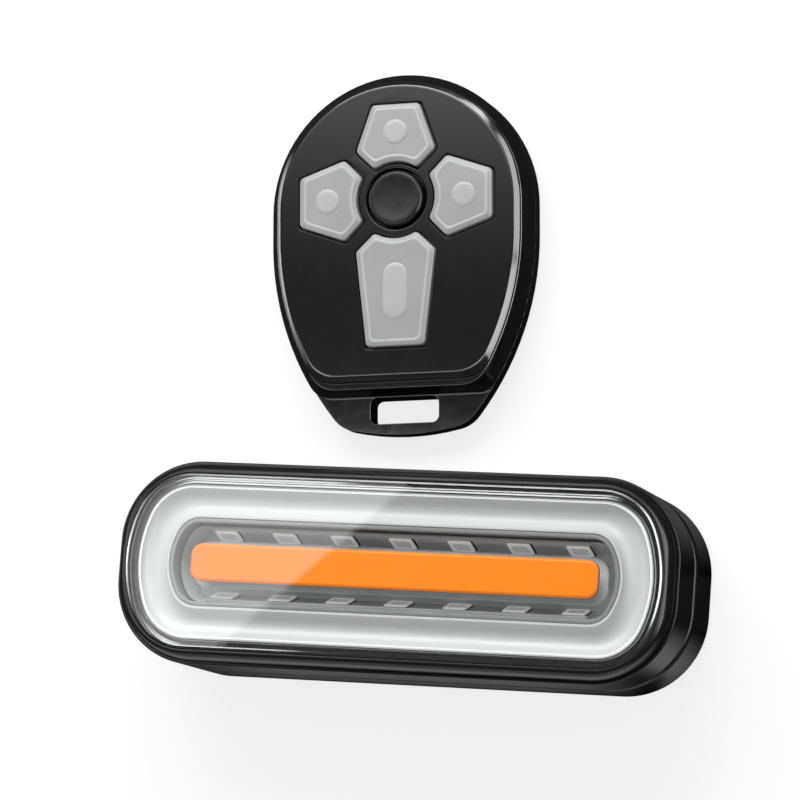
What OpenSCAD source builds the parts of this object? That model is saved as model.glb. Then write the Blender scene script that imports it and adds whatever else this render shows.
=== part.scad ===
// Bicycle turn signal: an oval rear lamp and its egg shaped wireless remote.
// Millimetres, +Z up. Both pieces lie on their backs; the lamp's back centre is the origin.

/* [Lamp shell] */
// Overall length of the lamp
lamp_l = 99; // [96:1:120]
// Overall height of the lamp
lamp_h = 35; // [34.8:0.1:38]
// Corner radius of the lamp's outline
lamp_corner_r = 14.2; // [13.8:0.1:15]
// Overall depth of the lamp, back face to lens front
lamp_d = 28; // [27.5:0.5:34]
// Wall thickness of case and cover
wall_t = 2; // [1.9:0.1:2.4]
// Floor thickness of the rear cover
floor_t = 2; // [1.9:0.1:3]
// Drop from the control board's underside to the top edge of the rear cover
joint_drop = 2.9; // [2.4:0.1:3.4]
// Thickness of the rubber joint seal
joint_seal_t = 1.2; // [0.8:0.1:1.4]
// Depth of the joint seal below the outer wall
waist_depth = 1.4; // [1.2:0.1:1.6]
// Edge rounding on both sides of the waist
waist_edge_r = 1.2; // [0.6:0.1:1.3]
// Rounding of the rear edge
rear_edge_r = 2; // [1:0.1:2.4]
// Drop from lens front to the case edge
edge_drop = 3.1; // [2.9:0.1:3.6]
// Width of the thin case lip around the bezel
lip_w = 0.55; // [0.4:0.05:0.7]
// Height of that lip above its step
lip_h = 1.7; // [1.2:0.1:2]

/* [Lens and light ring] */
// Width of the front frame, outer edge to lens edge
bezel_w = 2.5; // [2.4:0.05:3]
// Drop from lens front to the top of the bezel
bezel_drop = 0.25; // [0:0.05:0.6]
// Thickness of the flat lens
lens_t = 1.8; // [1.2:0.1:2.2]
// Depth of the rim under the lens
lens_rim_t = 1; // [0.8:0.1:1.3]
// Width of the clear rim seen inside the lens edge
lens_rim_w = 1.7; // [1.4:0.1:2.2]
// Edge rounding of the lens
lens_edge_r = 0.35; // [0.2:0.05:0.6]
// Thickness of the lens seal
lens_seal_t = 0.7; // [0.5:0.1:0.9]
// Width of the lens seal
lens_seal_w = 1.9; // [1.5:0.1:2.1]
// Thickness of the white ring below its channel flange
ring_t = 0.9; // [0.8:0.1:1.1]
// Depth of the white concave channel
channel_depth = 1.7; // [1.2:0.1:1.8]
// Flat rim on both sides of the channel
channel_rim = 0.4; // [0.3:0.05:0.6]
// Height of the chamber under the white ring
chamber_h = 2.2; // [1.8:0.1:2.4]
// Thickness of the ring board
ring_board_t = 1; // [0.8:0.1:1.2]
// Length of a ring diode
ring_led_l = 3.5; // [2:0.1:4]
// Width of a ring diode
ring_led_w = 2.8; // [1.6:0.1:3.2]
// Height of a ring diode
ring_led_t = 0.8; // [0.5:0.1:1.2]
// Ring diodes along each straight side
ring_led_n = 8; // [4:1:10]

/* [Light well] */
// Height of the oval well across its clear wall
well_h = 15; // [14.6:0.1:15.4]
// Depth of the well floor below the lens front
well_depth = 10; // [9.6:0.1:10.4]
// Thickness of the clear wall
guide_t = 0.7; // [0.5:0.1:0.8]
// Thickness of the tray floor
tray_t = 1; // [0.8:0.1:1.3]
// Thickness of the tray's outer wall
tray_wall_t = 1; // [0.8:0.1:1.2]
// Length of the amber bar
bar_l = 72; // [66:0.5:75]
// Width of the amber bar's face
bar_w = 6.5; // [5.5:0.1:7]
// Corner radius of the amber bar
bar_corner_r = 2; // [1:0.1:2.4]
// Thickness of the amber bar's face
bar_face_t = 3; // [2:0.1:3.6]
// Edge step of the amber bar's face
bar_edge = 0.4; // [0.2:0.1:0.6]
// Width of the blade under the bar's face
bar_stem_w = 4; // [3:0.1:4.4]
// Diodes in each side row
side_led_n = 7; // [5:1:7]
// Distance between the diodes of a side row
side_led_pitch = 10.4; // [9:0.1:10.6]
// Length of a side diode
side_led_l = 4; // [3:0.1:4.4]
// Height of a side diode along its board
side_led_h = 4.2; // [3:0.1:4.6]
// Thickness of a side diode
side_led_t = 0.5; // [0.4:0.05:0.6]
// Thickness of a side board
side_board_t = 0.6; // [0.5:0.05:0.8]
// Height of a side board along its slope
side_board_h = 5; // [4.8:0.1:5.2]
// Height of the diodes above the lower edge of a side board
side_led_z = 0.3; // [0.2:0.05:0.5]
// Lean of the side boards from upright
side_tilt = 16; // [14:0.5:17]

/* [Lamp electronics] */
// Gap between tray and control board
ctrl_gap = 0.6; // [0.4:0.1:0.8]
// Thickness of the control board
ctrl_t = 1.2; // [1:0.1:1.4]
// Length of the control board
ctrl_l = 51; // [48:0.5:52]
// Width of the control board
ctrl_w = 27.2; // [26.5:0.1:27.4]
// Length of the battery pouch
battery_l = 38; // [30:0.5:38.5]
// Width of the battery pouch
battery_w = 20; // [16:0.5:21]
// Gap between the battery pouch and the receiver can above it
battery_gap = 1.8; // [1:0.1:4.8]
// Radius of a battery lead
lead_r = 0.5; // [0.4:0.05:0.8]
// Length of the receiver can
can_l = 14; // [10:0.5:18]
// Width of the receiver can
can_w = 11; // [8:0.5:14]
// Height of the receiver can
can_t = 2.4; // [1.6:0.1:3]
// Pins in the link between both boards
link_n = 5; // [3:1:6]
// Distance between link pins
link_pitch = 2.54; // [2:0.02:2.6]
// Width of the link housing
link_w = 2.4; // [2:0.1:2.6]
// Radius of a link pin
link_pin_r = 0.35; // [0.25:0.05:0.45]

/* [Port and button] */
// Position of the charging port along the lamp
port_x = -12; // [-14:0.5:-10]
// Width of the port shell
usb_w = 8.94; // [8.8:0.02:9.1]
// Height of the port shell
usb_h = 3.26; // [3.1:0.02:3.4]
// Length of the port shell
usb_l = 6.2; // [5.8:0.1:6.3]
// Wall thickness of the port shell
usb_t = 0.3; // [0.2:0.02:0.36]
// Width of the port flap from its hinge pin
flap_l = 12.9; // [12.4:0.1:13.4]
// Height of the port flap
flap_h = 5.6; // [5.2:0.1:6]
// Thickness of the port flap
flap_t = 0.8; // [0.7:0.02:0.84]
// Radius of the flap's hinge pin
flap_pin_r = 0.5; // [0.4:0.02:0.52]
// Position of the power button along the lamp
button_x = 12; // [10:0.5:14]
// Width of the power button
button_w = 8.6; // [7:0.1:9]
// Height of the power button
button_h = 4; // [3.6:0.1:4.2]
// Stand of the power button above the wall
button_stand = 0.6; // [0.2:0.1:1]
// Travel of the power button
button_travel = 0.6; // [0.4:0.05:0.7]

/* [Lamp fixings] */
// Distance between the two rack bolts
rack_pitch = 50; // [50:0.5:52]
// Radius of the rack insert bore
rack_bore_r = 2.1; // [2:0.05:2.5]
// Outer radius of a rack insert
insert_r = 3.5; // [3.2:0.1:3.7]
// Length of a rack insert
insert_l = 8; // [6:0.5:8.5]
// Radius of the case screw shanks
screw_r = 1; // [0.8:0.05:1.05]
// Radius of the case screw heads
screw_head_r = 1.9; // [1.6:0.05:2]
// Height of the case screw heads
screw_head_t = 1.4; // [1:0.1:1.6]

/* [Remote shell] */
// Width of the remote
remote_w = 47.6; // [46.5:0.1:52]
// Length of the remote from round top to tail
remote_l = 63.8; // [63.4:0.1:70]
// Thickness of the remote up to its face
remote_t = 9.8; // [9.75:0.05:12]
// Distance of the button centre below the round top
button_down = 22.8; // [22.6:0.1:24]
// Height of the joint between both shells
split_z = 4.6; // [4.5:0.1:5]
// Radius of the long flanks
flank_r = 51; // [48:0.5:60]
// Radius of the tail edge
tail_r = 43; // [30:0.5:60]
// Corner radius of the tail
tail_corner_r = 6; // [4:0.1:7]
// Wall thickness of both shells
shell_t = 1.6; // [1.4:0.05:1.7]
// Floor thickness of the rear shell
remote_floor_t = 1.5; // [1.4:0.05:1.6]
// Slope inset of the front shell
slope_in = 1.5; // [1.2:0.05:1.6]
// Chamfer of the rear shell
rear_chamfer = 1.6; // [1:0.1:1.8]
// Inset of the face plate from the outline
face_in = 1.55; // [1.5:0.05:1.8]
// Thickness of the face plate
face_t = 1.2; // [1:0.05:1.3]
// Edge chamfer of the face plate
face_edge = 0.4; // [0.2:0.05:0.6]
// Corner radius of the face plate's lower end
face_corner_r = 6; // [4:0.1:7]
// Length of the tail tab beyond the front shell
tab_l = 6.9; // [6.8:0.05:7.1]
// Step from the front shell's end to the face plate
face_step = 1.9; // [1.6:0.1:2.4]
// Width of the lanyard slot
slot_w = 12.4; // [11:0.1:13]
// Height of the lanyard slot
slot_h = 4.6; // [4.5:0.02:4.7]
// Width of the bridge below the lanyard slot
slot_bridge = 2.1; // [2:0.02:2.2]
// Corner radius of the lanyard slot
slot_corner_r = 1.2; // [0.6:0.1:1.6]

/* [Remote keys] */
// Radius of the centre button
centre_r = 5; // [4.8:0.05:5.05]
// Width of the gap around the centre button
centre_gap = 0.4; // [0.35:0.05:0.5]
// Width of the chamfer around the centre button
centre_chamfer = 0.35; // [0.2:0.05:0.4]
// Dome height of the centre button
centre_dome = 0.7; // [0.4:0.05:0.9]
// Half width of a key at its outer edge
key_outer_w = 4.3; // [3.8:0.1:4.6]
// Half width of a key at its widest place
key_wide_w = 7.2; // [6.8:0.1:7.4]
// Half width of a key at its hollow edge
key_inner_w = 3.8; // [3.4:0.1:4]
// Distance from the hollow edge corners to the widest place
key_wide_d = 3.3; // [3.1:0.1:3.6]
// Distance from the hollow edge corners to the outer edge
key_outer_d = 11.5; // [10.8:0.1:11.8]
// Hollow edge radius of the upper key
upper_key_r = 6.5; // [6.45:0.05:6.8]
// Hollow edge radius of the other keys
side_key_r = 7.1; // [6.8:0.05:7.3]
// Half width of the lower key at its outer edge
lower_key_w = 5.3; // [4.8:0.1:5.6]
// Distance from hollow edge corners to outer edge of the lower key
lower_key_d = 20.2; // [19:0.1:20.6]
// Corner radius of the keys
key_corner_r = 1; // [0.5:0.1:1.4]
// Gap around a key
key_gap = 0.3; // [0.3:0.01:0.4]
// Stand of the keys above the face
key_stand = 0.8; // [0.8:0.05:1]
// Edge step of the keys
key_edge = 0.4; // [0.2:0.05:0.5]
// Radius of a key's round mark
mark_r = 2.05; // [1.4:0.05:2.4]
// Length of the lower key's mark
mark_l = 9.7; // [7:0.1:11]
// Height of the marks
mark_t = 0.2; // [0.1:0.02:0.3]
// Travel of the keys
key_travel = 0.8; // [0.5:0.05:0.8]

/* [Remote inside] */
// Thickness of the remote's board
remote_board_t = 0.8; // [0.6:0.05:0.85]
// Thickness of the key mat
mat_t = 1; // [0.9:0.05:1.05]
// Radius of a switch dome
dome_r = 2.4; // [1.8:0.1:2.8]
// Height of a switch dome
dome_t = 0.35; // [0.25:0.05:0.5]
// Radius of the coin cell
cell_r = 10; // [9.8:0.05:10.1]
// Thickness of the coin cell
cell_t = 1.6; // [1.2:0.05:1.65]

/* [Layout] */
// Sideways place of the remote's button centre
remote_x = -9.3; // [-12:0.1:12]
// Distance of the remote's button centre from the lamp's axis
remote_y = 66.8; // [66:0.1:80]
// Turn of the remote
remote_turn = 4.3; // [-10:0.05:10]

/* [Hidden] */
$fn = 96;
fit = 0.05;
lamp_r = lamp_h / 2;
corner_x = lamp_l / 2 - lamp_corner_r;
corner_y = lamp_r - lamp_corner_r;
case_ri = lamp_r - wall_t;
lip_ri = lamp_r - lip_w;
lens_r = lamp_r - bezel_w;
optic_r = case_ri - 2 * fit;
recess_r = lens_r - lens_rim_w;
guide_ro = well_h / 2;
guide_ri = guide_ro - guide_t;
ring_ri = guide_ro + 2 * fit;
ring_ro = recess_r - 4 * fit;
board_ri = guide_ro + 4 * fit;
ledge_w = 1.3;
ledge_t = 1.5;
lens_z = lamp_d - lens_t;
rim_z = lens_z - lens_rim_t;
ring_z = rim_z - lens_seal_t;
ring_under_z = ring_z - ring_t;
board_top_z = ring_under_z - chamber_h;
board_z = board_top_z - ring_board_t;
ledge_z = board_z - ledge_t;
optic_top_z = lens_z - 2 * fit;
well_z = lamp_d - well_depth;
tray_z = well_z - tray_t;
tray_r = ring_ri + tray_wall_t;
ctrl_top_z = tray_z - ctrl_gap;
ctrl_z = ctrl_top_z - ctrl_t;
lip_z = lamp_d - edge_drop;
step_z = lip_z - lip_h;
joint_z = ctrl_z - joint_drop;
case_z = joint_z + joint_seal_t;
battery_t = ctrl_z - can_t - battery_gap - floor_t;
seal_ro = lamp_r - waist_depth;
seal_ri = case_ri - 0.6;
boss_r = 2.4;
boss_x = corner_x - 5.3;
boss_y = seal_ri - boss_r - 0.2;
lug_x = ctrl_l / 2 - 2.5;
lug_y = ctrl_w / 2 - 1.2;
lug_w = 3;
screw_seat_z = screw_head_t + 0.5;
screw_end_z = board_z - 1.5;
rack_x = rack_pitch / 2;
rack_boss_r = insert_r + 1.4;
side_wall_y = guide_ri - 0.2;
side_rise = side_board_h * cos(side_tilt);
side_foot_y = side_wall_y - side_board_h * sin(side_tilt);
side_l = (side_led_n - 1) * side_led_pitch + side_led_l + 1;
port_z = ctrl_top_z + usb_h / 2;
usb_y = case_ri - 0.4;
flap_x = port_x - flap_l / 2;
flap_y = lamp_r - 0.8;
flap_gap = 0.3;
flap_floor_y = lamp_r - flap_t - 0.2;
flap_seat_h = flap_h + 2 * flap_gap;
tongue_w = 8.6;
tongue_h = 2.8;
port_hole_w = tongue_w + 1;
port_hole_h = tongue_h + 1;
button_z = ctrl_top_z + 1.2;
button_gap = 0.3;
button_flange_y = case_ri - 0.2;
button_flange_t = 0.8;
button_foot_y = button_flange_y - button_flange_t;
button_clear = button_travel + 0.3;
stem_l = 0.6;
switch_y = button_foot_y - stem_l - button_travel - 0.1;
lead_x = battery_l / 2 - 3;
lead_y = 4;
link_y = -ctrl_w / 2 + 2.2;

remote_r = remote_w / 2;
top_cy = button_down - remote_r;
waist_y = -6.25;
tail_y = button_down - remote_l;
tail_cy = tail_y + tail_r;
flank_c = flank_r - remote_r;
corner_p = meet([-flank_c, waist_y], flank_r - tail_corner_r, [0, tail_cy], tail_r - tail_corner_r);
flank_a = atan2(waist_y - corner_p[1], corner_p[0] + flank_c);
tail_a = atan2(corner_p[0], tail_cy - corner_p[1]);
front_end_y = tail_y + tab_l;
face_end_y = front_end_y + face_step;
slot_y = tail_y + slot_bridge + slot_h / 2;
face_z = remote_t - face_t;
deck_t = 0.8;
deck_z = face_z - deck_t;
cell_top_z = remote_floor_t + cell_t;
contact_t = 0.6;
pcb_z = cell_top_z + contact_t;
pcb_top_z = pcb_z + remote_board_t;
mat_top_z = pcb_top_z + mat_t;
flange_t = 0.8;
flange_z = deck_z - 0.25 - flange_t;
flange_out = 0.9;
flange_clear_r = 7.2;
key_top_z = remote_t + key_stand;
front_cavity = shell_t + slope_in;
pcb_in = front_cavity + 0.3;
inner_end_y = front_end_y + 2.2;
cell_y = -10;
cell_rib_t = 1;
upper_screw = [11.5, 13];
lower_screw = [11.9, -24.6];
remote_boss_r = 2.2;
remote_post_r = 3.2;
remote_head_r = 1.8;
remote_seat_z = 1.9;
mark_d = 5.3;
lower_mark_y = -16.4;
dome_places = [
    [0, 0],
    [0, upper_key_r + mark_d],
    [-side_key_r - mark_d, 0],
    [side_key_r + mark_d, 0],
    [0, lower_mark_y]
];

// Points of an arc, both ends included
function arc(c, r, a0, a1, n) =
    [for (i = [0:n]) c + r * [cos(a0 + (a1 - a0) * i / n), sin(a0 + (a1 - a0) * i / n)]];

// Points of an arc that goes on from the last point of another one
function arc_on(c, r, a0, a1, n) =
    [for (i = [1:n]) c + r * [cos(a0 + (a1 - a0) * i / n), sin(a0 + (a1 - a0) * i / n)]];

// Lower crossing point of two circles
function meet(p, rp, q, rq) =
    let (d = norm(q - p))
    let (u = (q - p) / d)
    let (a = (rp * rp - rq * rq + d * d) / (2 * d))
    let (h = sqrt(rp * rp - a * a))
    p + a * u + h * [u[1], -u[0]];

// Outward unit normal of an edge of a left turning outline
function edge_out(p, q) = [q[1] - p[1], p[0] - q[0]] / norm(q - p);

// Outline grown by g along its edge normals
function grow(p, g) =
    let (n = len(p))
    [for (i = [0:n - 1])
        let (a = edge_out(p[(i + n - 1) % n], p[i]))
        let (b = edge_out(p[i], p[(i + 1) % n]))
        p[i] + g * (a + b) / (1 + a * b)];

// Outline with every sharp corner rounded
function soften(p, r) =
    let (n = len(p))
    [for (i = [0:n - 1])
        let (u = (p[(i + n - 1) % n] - p[i]))
        let (v = (p[(i + 1) % n] - p[i]))
        let (turn = 180 - acos(max(-1, min(1, (u * v) / (norm(u) * norm(v))))))
        let (t = min(r * tan(turn / 2), norm(u) * 0.48, norm(v) * 0.48))
        for (k = turn > 20 ? [0:4] : [2])
            let (s = k / 4)
            turn > 20
                ? p[i] + t * ((1 - s) * (1 - s) * u / norm(u) + s * s * v / norm(v))
                : p[i]];

// Remote outline, inset by d
function egg(d) = concat(
    arc([0, top_cy], remote_r - d, 0, 180, 44),
    arc([flank_c, waist_y], flank_r - d, 180, 180 + flank_a, 14),
    arc_on([-corner_p[0], corner_p[1]], tail_corner_r - d, 180 + flank_a, 270 - tail_a, 8),
    arc_on([0, tail_cy], tail_r - d, 270 - tail_a, 270 + tail_a, 8),
    arc_on(corner_p, tail_corner_r - d, 270 + tail_a, 360 - flank_a, 8),
    arc_on([-flank_c, waist_y], flank_r - d, 360 - flank_a, 360, 14));

// Remote outline with a straight lower end at y, inset by d
function egg_cut(d, r, y) =
    let (cy = y + r)
    let (cx = sqrt(pow(flank_r - d - r, 2) - pow(waist_y - cy, 2)) - flank_c)
    let (a = atan2(waist_y - cy, cx + flank_c))
    concat(
        arc([0, top_cy], remote_r - d, 0, 180, 44),
        arc([flank_c, waist_y], flank_r - d, 180, 180 + a, 14),
        arc_on([-cx, cy], r, 180 + a, 270, 8),
        arc([cx, cy], r, 270, 360 - a, 8),
        arc_on([-flank_c, waist_y], flank_r - d, 360 - a, 360, 14));

// Key outline pointing to +Y with its hollow edge at radius r
function key_base(r, outer_w, outer_d) =
    let (a = acos(key_inner_w / r))
    let (y = r * sin(a))
    concat(
        [[outer_w, y + outer_d], [-outer_w, y + outer_d], [-key_wide_w, y + key_wide_d]],
        arc([0, 0], r, 180 - a, a, 10),
        [[key_wide_w, y + key_wide_d]]);

// Finished key outline, grown by g
function key_pts(r, outer_w, outer_d, g) =
    soften(grow(key_base(r, outer_w, outer_d), g), key_corner_r);

function upper_pts(g) = key_pts(upper_key_r, key_outer_w, key_outer_d, g);
function side_pts(g) = key_pts(side_key_r, key_outer_w, key_outer_d, g);
function lower_pts(g) = key_pts(side_key_r, lower_key_w, lower_key_d, g);

// The lamp's rounded outline, parallel to the outer wall, r above the long axis
module oval(r) {
    round_rect(2 * (corner_x + r - corner_y), 2 * r, r - corner_y);
}

module oval_plate(r, z0, z1) {
    translate([0, 0, z0])
        linear_extrude(z1 - z0)
            oval(r);
}

module oval_ring(ri, ro, z0, z1) {
    difference() {
        oval_plate(ro, z0, z1);
        oval_plate(ri, z0 - 1, z1 + 1);
    }
}

// The profile p, of points [r, z], carried round the lamp's outline
module oval_sweep(p) {
    q = [for (v = p) [v[0] - corner_y, v[1]]];
    for (a = [0, 180])
        rotate([0, 0, a]) {
            translate([corner_x, corner_y, 0])
                rotate_extrude(angle = 90)
                    polygon(q);
            translate([corner_x, -corner_y, 0])
                rotate([0, 0, -90])
                    rotate_extrude(angle = 90)
                        polygon(q);
            translate([-corner_x, 0, 0])
                rotate([90, 0, 90])
                    linear_extrude(2 * corner_x)
                        polygon(p);
            translate([corner_x, corner_y, 0])
                rotate([90, 0, 0])
                    linear_extrude(2 * corner_y)
                        polygon(q);
        }
}

module box_at(x, y, z, size) {
    translate([x - size[0] / 2, y - size[1] / 2, z])
        cube(size);
}

module post(x, y, z0, z1, r) {
    translate([x, y, z0])
        cylinder(r = r, h = z1 - z0);
}

module four(x, y) {
    for (sx = [-1, 1], sy = [-1, 1])
        translate([sx * x, sy * y, 0])
            children();
}

module pill(w, h) {
    square([w - h, h], center = true);
    for (s = [-1, 1])
        translate([s * (w - h) / 2, 0])
            circle(h / 2);
}

module round_rect(l, w, r) {
    square([l - 2 * r, w], center = true);
    square([l, w - 2 * r], center = true);
    for (sx = [-1, 1], sy = [-1, 1])
        translate([sx * (l / 2 - r), sy * (w / 2 - r)])
            circle(r);
}

module along_y(x, z, y0, y1) {
    translate([x, y1, z])
        rotate([90, 0, 0])
            linear_extrude(y1 - y0)
                children();
}

module cross_screw(z0, seat, z1, head_r, r) {
    difference() {
        post(0, 0, z0, seat, head_r);
        box_at(0, 0, z0 - 1, [head_r * 1.3, head_r * 0.32, 1.7]);
        box_at(0, 0, z0 - 1, [head_r * 0.32, head_r * 1.3, 1.7]);
    }
    post(0, 0, seat, z1, r);
}

module on_remote() {
    translate([remote_x, remote_y, 0])
        rotate([0, 0, remote_turn])
            children();
}

module slab(p, z0, z1) {
    translate([0, 0, z0])
        linear_extrude(z1 - z0)
            polygon(p);
}

module remote_fixings(z0, z1, r) {
    for (p = [upper_screw, lower_screw], s = [-1, 1])
        post(s * p[0], p[1], z0, z1, r);
}

module lamp_case() {
    wall = concat(
        [[case_ri, case_z]],
        arc([lamp_r - waist_edge_r, case_z + waist_edge_r], waist_edge_r, -90, 0, 6),
        arc([lamp_r - 0.25, lip_z - 0.25], 0.25, 0, 90, 4),
        [[lip_ri, lip_z], [lip_ri, step_z], [case_ri, step_z], [case_ri, board_z]],
        [[case_ri - ledge_w, board_z], [case_ri - ledge_w, ledge_z], [case_ri, ledge_z - ledge_w]]);
    color([0.05, 0.05, 0.055])
        difference() {
            union() {
                oval_sweep(wall);
                four(boss_x, boss_y) {
                    post(0, 0, case_z, board_z, boss_r);
                }
                for (sx = [-1, 1], sy = [-1, 1])
                    box_at(sx * boss_x, sy * (boss_y + case_ri + 0.5) / 2, case_z,
                        [1.6, case_ri + 0.5 - boss_y, board_z - case_z]);
                for (sx = [-1, 1], sy = [-1, 1])
                    box_at(sx * lug_x, sy * (lug_y + case_ri) / 2, ctrl_top_z,
                        [lug_w, case_ri - lug_y + 1, board_z - ctrl_top_z]);
            }
            four(boss_x, boss_y)
                post(0, 0, case_z - 1, screw_end_z + 0.3, screw_r + fit);
            along_y(port_x, port_z, case_ri - 3, lamp_r + 1)
                pill(port_hole_w, port_hole_h);
            translate([flap_x - 0.9, flap_floor_y, port_z - flap_seat_h / 2])
                cube([flap_l + 0.9 + flap_gap, 3, flap_seat_h]);
            post(flap_x, flap_y, port_z - flap_seat_h / 2, port_z + flap_seat_h / 2, 0.95);
            post(flap_x, flap_y, port_z - flap_seat_h / 2 - 0.8, port_z + flap_seat_h / 2 + 0.8,
                flap_pin_r + 0.07);
            box_at(port_x, case_ri - 3, ctrl_top_z - 1, [usb_w + 1.2, 6, board_z - ctrl_top_z + 1]);
            along_y(button_x, button_z, case_ri - 3, lamp_r + 1)
                pill(button_w + 2 * button_gap, button_h + 2 * button_gap);
            box_at(button_x, case_ri - 3, ctrl_top_z - 2, [button_w + 2.6, 6, board_z - ctrl_top_z + 2]);
        }
}

module rear_cover() {
    wall = concat(
        [[case_ri - 1, 0]],
        arc([lamp_r - rear_edge_r, rear_edge_r], rear_edge_r, -90, 0, 8),
        arc([lamp_r - waist_edge_r, joint_z - waist_edge_r], waist_edge_r, 0, 90, 6),
        [[case_ri, joint_z], [case_ri, floor_t], [case_ri - 1, floor_t]]);
    color([0.045, 0.045, 0.05])
        difference() {
            union() {
                oval_sweep(wall);
                oval_plate(case_ri - 0.5, 0, floor_t);
                four(boss_x, boss_y)
                    post(0, 0, 0, case_z, boss_r);
                four(lug_x, lug_y)
                    post(0, 0, 0, ctrl_z, 1.3);
                for (s = [-1, 1])
                    post(s * rack_x, 0, 0, insert_l + 1.5, rack_boss_r);
            }
            four(boss_x, boss_y) {
                post(0, 0, -1, screw_seat_z, screw_head_r + 0.2);
                post(0, 0, 0, case_z + 1, screw_r + 0.15);
            }
            for (s = [-1, 1])
                post(s * rack_x, 0, -1, insert_l, insert_r);
        }
}

module front_bezel() {
    top_z = lamp_d - bezel_drop;
    shoulder_r = lens_r + fit + 0.3;
    outer_r = lip_ri - fit;
    curve = [for (i = [0:10]) [
        shoulder_r + (outer_r - shoulder_r) * cos(9 * i),
        lip_z + (top_z - lip_z) * sin(9 * i)]];
    color([0.06, 0.06, 0.065])
        oval_sweep(concat(
            [[case_ri, step_z], [outer_r, step_z]],
            curve,
            [[lens_r + fit, top_z - 0.25], [lens_r + fit, lens_z], [case_ri, lens_z]]));
}

module front_lens() {
    color([0.85, 0.87, 0.88, 0.35]) {
        oval_sweep(concat(
            [[recess_r, rim_z], [optic_r, rim_z], [optic_r, lens_z], [lens_r, lens_z]],
            arc([lens_r - lens_edge_r, lamp_d - lens_edge_r], lens_edge_r, 0, 90, 5),
            [[recess_r - 1, lamp_d], [recess_r - 1, lens_z], [recess_r, lens_z]]));
        oval_plate(recess_r - 0.5, lens_z, lamp_d);
    }
}

module lens_seal() {
    color([0.05, 0.05, 0.055])
        oval_ring(optic_r - lens_seal_w, optic_r, ring_z, rim_z);
}

module light_ring() {
    mid_r = (ring_ri + ring_ro) / 2;
    half_w = (ring_ro - ring_ri) / 2 - channel_rim;
    curve_r = (half_w * half_w + channel_depth * channel_depth) / (2 * channel_depth);
    curve_z = optic_top_z - channel_depth + curve_r;
    half_a = asin(half_w / curve_r);
    color([0.93, 0.93, 0.92])
        oval_sweep(concat(
            [[ring_ri, board_top_z], [ring_ri + 0.8, board_top_z], [ring_ri + 0.8, ring_under_z]],
            [[optic_r - 1, ring_under_z], [optic_r - 1, board_top_z], [optic_r, board_top_z]],
            [[optic_r, ring_z], [ring_ro, ring_z], [ring_ro, optic_top_z]],
            arc([mid_r, curve_z], curve_r, 270 + half_a, 270 - half_a, 14),
            [[ring_ri, optic_top_z]]));
}

module ring_board() {
    color([0.9, 0.91, 0.9])
        oval_ring(board_ri, optic_r, board_z, board_top_z);
}

module ring_leds() {
    mid_r = (ring_ri + ring_ro) / 2;
    color([0.95, 0.92, 0.75]) {
        for (i = [0:ring_led_n - 1], s = [-1, 1])
            box_at((2 * i / (ring_led_n - 1) - 1) * (corner_x - 5), s * mid_r, board_top_z,
                [ring_led_l, ring_led_w, ring_led_t]);
        for (sx = [-1, 1], sy = [-1, 1])
            translate([sx * corner_x, sy * corner_y, 0])
                rotate([0, 0, atan2(sy, sx)])
                    box_at(mid_r - corner_y, 0, board_top_z, [ring_led_w, ring_led_l, ring_led_t]);
        for (s = [-1, 1])
            box_at(s * (corner_x + mid_r - corner_y), 0, board_top_z, [ring_led_w, ring_led_l, ring_led_t]);
    }
}

module well_wall() {
    color([0.8, 0.82, 0.84, 0.4])
        oval_ring(guide_ri, guide_ro, well_z, optic_top_z);
}

module well_tray() {
    color([0.3, 0.3, 0.31]) {
        oval_plate(tray_r, tray_z, well_z);
        oval_ring(tray_r - tray_wall_t, tray_r, tray_z, board_z);
        oval_sweep([
            [side_foot_y, tray_z + tray_t / 2],
            [side_wall_y, tray_z + tray_t / 2],
            [side_wall_y, well_z + side_rise],
            [side_foot_y, well_z]]);
    }
}

// Keeps its children inside the clear oval wall
module in_well() {
    intersection() {
        children();
        oval_plate(guide_ri - fit, tray_z, optic_top_z);
    }
}

module on_slope() {
    translate([0, side_foot_y, well_z])
        rotate([-side_tilt, 0, 0])
            children();
}

module side_board() {
    color([0.36, 0.36, 0.37])
        in_well()
            on_slope()
                translate([-side_l / 2, -side_board_t, 0])
                    cube([side_l, side_board_t, side_board_h]);
}

module side_leds() {
    color([0.82, 0.83, 0.84])
        in_well()
            on_slope()
                for (i = [0:side_led_n - 1])
                    box_at((i - (side_led_n - 1) / 2) * side_led_pitch,
                        -side_board_t - side_led_t / 2, side_led_z, [side_led_l, side_led_t, side_led_h]);
}

module upper_led_board() {
    side_board();
}

module lower_led_board() {
    rotate([0, 0, 180])
        side_board();
}

module upper_leds() {
    side_leds();
}

module lower_leds() {
    rotate([0, 0, 180])
        side_leds();
}

module amber_bar() {
    color([1, 0.42, 0.02]) {
        translate([0, 0, optic_top_z - bar_face_t])
            linear_extrude(bar_face_t - bar_edge)
                round_rect(bar_l, bar_w, bar_corner_r);
        translate([0, 0, optic_top_z - bar_edge])
            linear_extrude(bar_edge)
                round_rect(bar_l - 2 * bar_edge, bar_w - 2 * bar_edge, bar_corner_r - bar_edge);
        box_at(0, 0, well_z, [bar_l - 4, bar_stem_w, optic_top_z - bar_face_t - well_z]);
    }
}

module control_board() {
    color([0.05, 0.25, 0.13])
        difference() {
            box_at(0, 0, ctrl_z, [ctrl_l, ctrl_w, ctrl_t]);
            box_at(button_x, button_foot_y - button_clear + ctrl_w / 2, ctrl_z - ctrl_t,
                [button_w + 1.6 + 2 * button_clear, ctrl_w, 3 * ctrl_t]);
        }
}

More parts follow.
